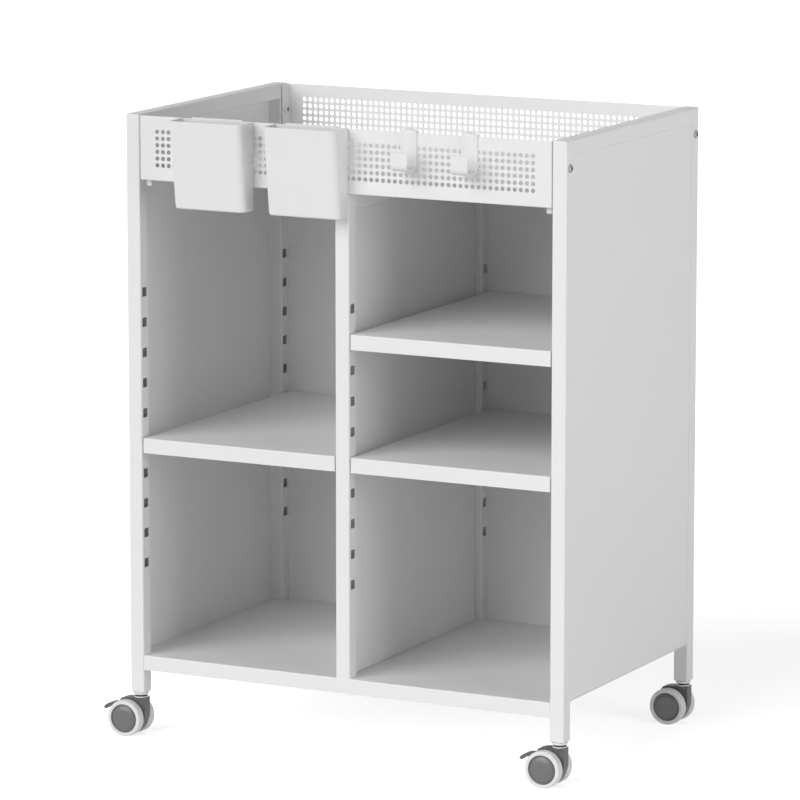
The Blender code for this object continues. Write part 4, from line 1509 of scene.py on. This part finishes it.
class BOOKCASE_OT_caster_axles(bpy.types.Operator):
    """Plating on the axles, which keep the shape they have in the frame"""

    bl_idname = "bookcase.caster_axles"
    bl_label = "Caster Axles"

    def execute(self, context):
        for caster in CASTERS:
            axle = frame["nodes"][f"caster_{caster}_axle"]
            axle.data.materials.clear()
            axle.data.materials.append(zinc_plating())
        return {"FINISHED"}


def wheel_targets(part, sizes):
    """Targets for the front and rear wheel or cap of every caster."""
    hub = (-sizes.trail, 0, 0)
    return [
        (f"caster_{caster}_{face}_{part}", f"{caster}_{face}_roller", swivel_axis(caster), turn, hub)
        for caster in CASTERS
        for face, turn in (("front", 0.0), ("rear", HALF_TURN))
    ]


def wheel_faces(sizes):
    """Distances from the hood's middle to a wheel's inner and outer face."""
    inner = sizes.hood_width / 2 + sizes.wheel_gap
    return inner, inner + sizes.wheel_width


def wheel_shape(name, outline, sizes):
    """A front wheel or cap turned about the axle from (radius, distance) points."""
    hub = Vector((-sizes.trail, 0, sizes.wheel_radius))
    profile = [hub + Vector((0, -out, radius)) for radius, out in outline]
    return spun(name, profile, hub, (0, 1, 0), WHEEL_SIDES)


class BOOKCASE_OT_tyres(bpy.types.Operator):
    """Eight pale tyres with round shoulders and a seat for the hub cap"""

    bl_idname = "bookcase.tyres"
    bl_label = "Tyres"

    def execute(self, context):
        sizes = context.scene.bookcase_casters
        fit = context.scene.bookcase_carcass.fit
        inner, outer = wheel_faces(sizes)
        rim = sizes.wheel_radius
        recess = rim - sizes.tyre_wall + fit
        bore = sizes.axle_radius + fit
        bend = sizes.outer_shoulder
        outer_round = arc((rim - bend, outer - bend), bend, QUARTER_TURN, 0, steps=8)
        bend = sizes.inner_shoulder
        inner_round = arc((rim - bend, inner + bend), bend, 0, -QUARTER_TURN, steps=5)
        seat = outer - sizes.cap_depth
        outline = [(recess, outer), *outer_round, *inner_round]
        outline += [(bore, inner), (bore, seat), (recess, seat), (recess, outer)]
        tyre = wheel_shape("tyre", outline, sizes)
        soften(tyre, fit)
        place_copies(tyre, tyre_rubber(), "tyre_grey", wheel_targets("wheel", sizes))
        return {"FINISHED"}


class BOOKCASE_OT_hub_caps(bpy.types.Operator):
    """Eight crowned discs in the seats of the tyres"""

    bl_idname = "bookcase.hub_caps"
    bl_label = "Hub Caps"

    def execute(self, context):
        sizes = context.scene.bookcase_casters
        fit = context.scene.bookcase_carcass.fit
        outer = wheel_faces(sizes)[1]
        rim = sizes.wheel_radius - sizes.tyre_wall
        radius = rim - sizes.cap_groove
        base = outer - sizes.cap_depth + fit
        steps = 16
        middle = outer + sizes.cap_crown
        crown = [
            (radius * step / steps, middle - sizes.cap_fall * (step / steps) ** CAP_POWER)
            for step in range(steps + 1)
        ]
        flange = base + sizes.cap_flange
        outline = [*crown, (radius, flange), (rim, flange), (rim, base), (0, base)]
        cap = wheel_shape("cap", outline, sizes)
        soften(cap, fit)
        place_copies(cap, cap_plastic(), "moulded_grey", wheel_targets("cap", sizes))
        return {"FINISHED"}


def lever_blade(sizes):
    """Outline of the lever: an arch from the pivot that falls and thins towards its tip."""
    pivot = Vector(lever_pivot(sizes))
    crown = Vector((-sizes.crown_reach, sizes.lever_arch))
    tip = Vector((-sizes.lever_reach, -sizes.lever_fall))
    steps = 16
    upper, lower = [], []
    for step in range(steps + 1):
        part = step / steps
        point = pivot + crown * 2 * part * (1 - part) + tip * part**2
        along = (crown * (2 - 4 * part) + tip * 2 * part).normalized()
        half = (sizes.lever_thickness + (sizes.tip_thickness - sizes.lever_thickness) * part) / 2
        side = Vector((along.y, -along.x)) * half
        upper.append(point + side)
        lower.append(point - side)
    return upper + lower[::-1]


class BOOKCASE_OT_brake_levers(bpy.types.Operator):
    """Curved brake levers on the two front casters"""

    bl_idname = "bookcase.brake_levers"
    bl_label = "Brake Levers"

    def execute(self, context):
        sizes = context.scene.bookcase_casters
        fit = context.scene.bookcase_carcass.fit
        half = sizes.hood_width / 2 - fit
        lever = slab("lever", lever_blade(sizes), half)
        x, z = lever_pivot(sizes)
        boss_half = half - fit
        start = (x, -boss_half, z)
        end = (x, boss_half, z)
        fuse(lever, rod("boss", sizes.lever_boss, start, end, BOLT_SIDES))
        soften(lever, sizes.lever_edge, segments=3)
        targets = caster_targets("lever", "{}_brake", "front")
        place_copies(lever, grey_plastic(), "moulded_grey", targets)
        return {"FINISHED"}


# Stage


def seen_directly(tree):
    """A value of 1 for rays that the camera sends, also by way of gloss or glass."""
    path = add_node(tree, "ShaderNodeLightPath", {})
    total = path.outputs["Is Camera Ray"]
    for ray in ("Is Glossy Ray", "Is Transmission Ray"):
        pair = {0: total, 1: path.outputs[ray]}
        total = add_node(tree, "ShaderNodeMath", pair, operation="MAXIMUM").outputs["Value"]
    return total


def pale_floor(settings):
    """A matt floor that reaches white where no shadow falls on it."""
    finish = bpy.data.materials.new("pale_floor")
    finish.use_nodes = True
    tree = finish.node_tree
    shader = tree.nodes["Principled BSDF"]
    surface = {
        "Base Color": (*settings.floor_colour, 1),
        "Roughness": FLOOR_ROUGHNESS,
        "Specular IOR Level": 0.0,
    }
    feed(tree, shader, surface)
    away = add_node(tree, "ShaderNodeVectorMath", {0: own_place(tree)}, operation="LENGTH")
    limits = {
        "Value": away.outputs["Value"],
        "From Min": settings.near_floor,
        "From Max": settings.far_floor,
        "To Min": settings.floor_glow,
        "To Max": settings.far_glow,
    }
    rise = add_node(tree, "ShaderNodeMapRange", limits, interpolation_type="SMOOTHSTEP")
    pair = {0: rise.outputs["Result"], 1: seen_directly(tree)}
    scaled = add_node(tree, "ShaderNodeMath", pair, operation="MULTIPLY")
    glow = add_node(tree, "ShaderNodeEmission", {"Strength": scaled.outputs["Value"]})
    pair = {0: shader.outputs["BSDF"], 1: glow.outputs["Emission"]}
    both = add_node(tree, "ShaderNodeAddShader", pair)
    feed(tree, tree.nodes["Material Output"], {"Surface": both.outputs["Shader"]})
    return finish


def white_surroundings(settings):
    """A white world to look at, which lights the object at its own lower strength."""
    world = bpy.data.worlds.new("surroundings")
    bpy.context.scene.world = world
    world.use_nodes = True
    tree = world.node_tree
    limits = {"To Min": settings.ambient, "To Max": 1.0}
    level = add_node(tree, "ShaderNodeMapRange", {"Value": seen_directly(tree), **limits})
    light = {"Color": (1, 1, 1, 1), "Strength": level.outputs["Result"]}
    feed(tree, tree.nodes["Background"], light)


def soft_lamp(name, kind, energy, place, target, **settings):
    """A wide lamp of a kind, at a place and aimed at a target."""
    bpy.ops.object.light_add(type=kind, location=place)
    lamp = bpy.context.object
    lamp.name = name
    lamp.data.energy = energy
    for setting, value in settings.items():
        setattr(lamp.data, setting, value)
    lamp.rotation_euler = (Vector(target) - Vector(place)).to_track_quat("-Z", "Y").to_euler()


class BOOKCASE_OT_stage(bpy.types.Operator):
    """A pale floor, soft light and a camera at the photograph's angle"""

    bl_idname = "bookcase.stage"
    bl_label = "Stage"

    def execute(self, context):
        settings = context.scene.bookcase_stage
        bpy.ops.mesh.primitive_plane_add(size=FLOOR_WIDTH)
        floor = added("floor")
        floor.data.materials.append(pale_floor(settings))
        white_surroundings(settings)
        centre = (CAD_BOX[0] + CAD_BOX[1]) / 2
        soft_lamp("key", "SUN", settings.key_strength, KEY_DIRECTION, ORIGIN, angle=settings.key_spread)
        soft_lamp("fill", "AREA", settings.fill_power, FILL_PLACE, centre, size=FILL_WIDTH)
        bpy.ops.object.camera_add(
            location=settings.camera_place,
            rotation=(QUARTER_TURN - settings.camera_pitch, 0, settings.camera_yaw),
        )
        camera = bpy.context.object
        camera.name = "photograph_camera"
        camera.data.lens = settings.camera_lens
        context.scene.camera = camera
        context.scene.view_settings.view_transform = "Standard"
        return {"FINISHED"}


GROUPS = {
    "bookcase_carcass": CarcassSizes,
    "bookcase_rails": RailSizes,
    "bookcase_accessories": AccessorySizes,
    "bookcase_casters": CasterSizes,
    "bookcase_finishes": Finishes,
    "bookcase_stage": StageSettings,
}
STEPS = (
    BOOKCASE_OT_corner_posts,
    BOOKCASE_OT_divider_posts,
    BOOKCASE_OT_cross_tubes,
    BOOKCASE_OT_panels,
    BOOKCASE_OT_bottom_shelf,
    BOOKCASE_OT_top_shelf,
    BOOKCASE_OT_rails,
    BOOKCASE_OT_bolts,
    BOOKCASE_OT_hooked_shelves,
    BOOKCASE_OT_cups,
    BOOKCASE_OT_hooks,
    BOOKCASE_OT_caster_stems,
    BOOKCASE_OT_caster_hoods,
    BOOKCASE_OT_caster_axles,
    BOOKCASE_OT_tyres,
    BOOKCASE_OT_hub_caps,
    BOOKCASE_OT_brake_levers,
    BOOKCASE_OT_stage,
)


class BOOKCASE_PT_steps(bpy.types.Panel):
    """Lists the steps that make the bookcase, with the sizes and colours that they use"""

    bl_label = "Mobile Bookcase"
    bl_space_type = "VIEW_3D"
    bl_region_type = "UI"
    bl_category = "Bookcase"

    def draw(self, context):
        for step in STEPS:
            self.layout.operator(step.bl_idname)
        for name, group in GROUPS.items():
            box = self.layout.box()
            box.label(text=group.__doc__)
            values = getattr(context.scene, name)
            for prop in group.__annotations__:
                box.prop(values, prop)


def register():
    """Registers the sizes, the steps and the panel."""
    for group in GROUPS.values():
        bpy.utils.register_class(group)
    for name, group in GROUPS.items():
        setattr(bpy.types.Scene, name, PointerProperty(type=group))
    for step in STEPS:
        bpy.utils.register_class(step)
    bpy.utils.register_class(BOOKCASE_PT_steps)


def unregister():
    """Removes what register added."""
    bpy.utils.unregister_class(BOOKCASE_PT_steps)
    for step in reversed(STEPS):
        bpy.utils.unregister_class(step)
    for name, group in GROUPS.items():
        delattr(bpy.types.Scene, name)
        bpy.utils.unregister_class(group)


def main():
    """Makes the bookcase and its stage."""
    register()
    bpy.ops.bookcase.corner_posts()
    bpy.ops.bookcase.divider_posts()
    bpy.ops.bookcase.cross_tubes()
    bpy.ops.bookcase.panels()
    bpy.ops.bookcase.bottom_shelf()
    bpy.ops.bookcase.top_shelf()
    bpy.ops.bookcase.rails()
    bpy.ops.bookcase.bolts()
    bpy.ops.bookcase.hooked_shelves()
    bpy.ops.bookcase.cups()
    bpy.ops.bookcase.hooks()
    bpy.ops.bookcase.caster_stems()
    bpy.ops.bookcase.caster_hoods()
    bpy.ops.bookcase.caster_axles()
    bpy.ops.bookcase.tyres()
    bpy.ops.bookcase.hub_caps()
    bpy.ops.bookcase.brake_levers()
    bpy.ops.bookcase.stage()


if __name__ == "__main__":
    main()
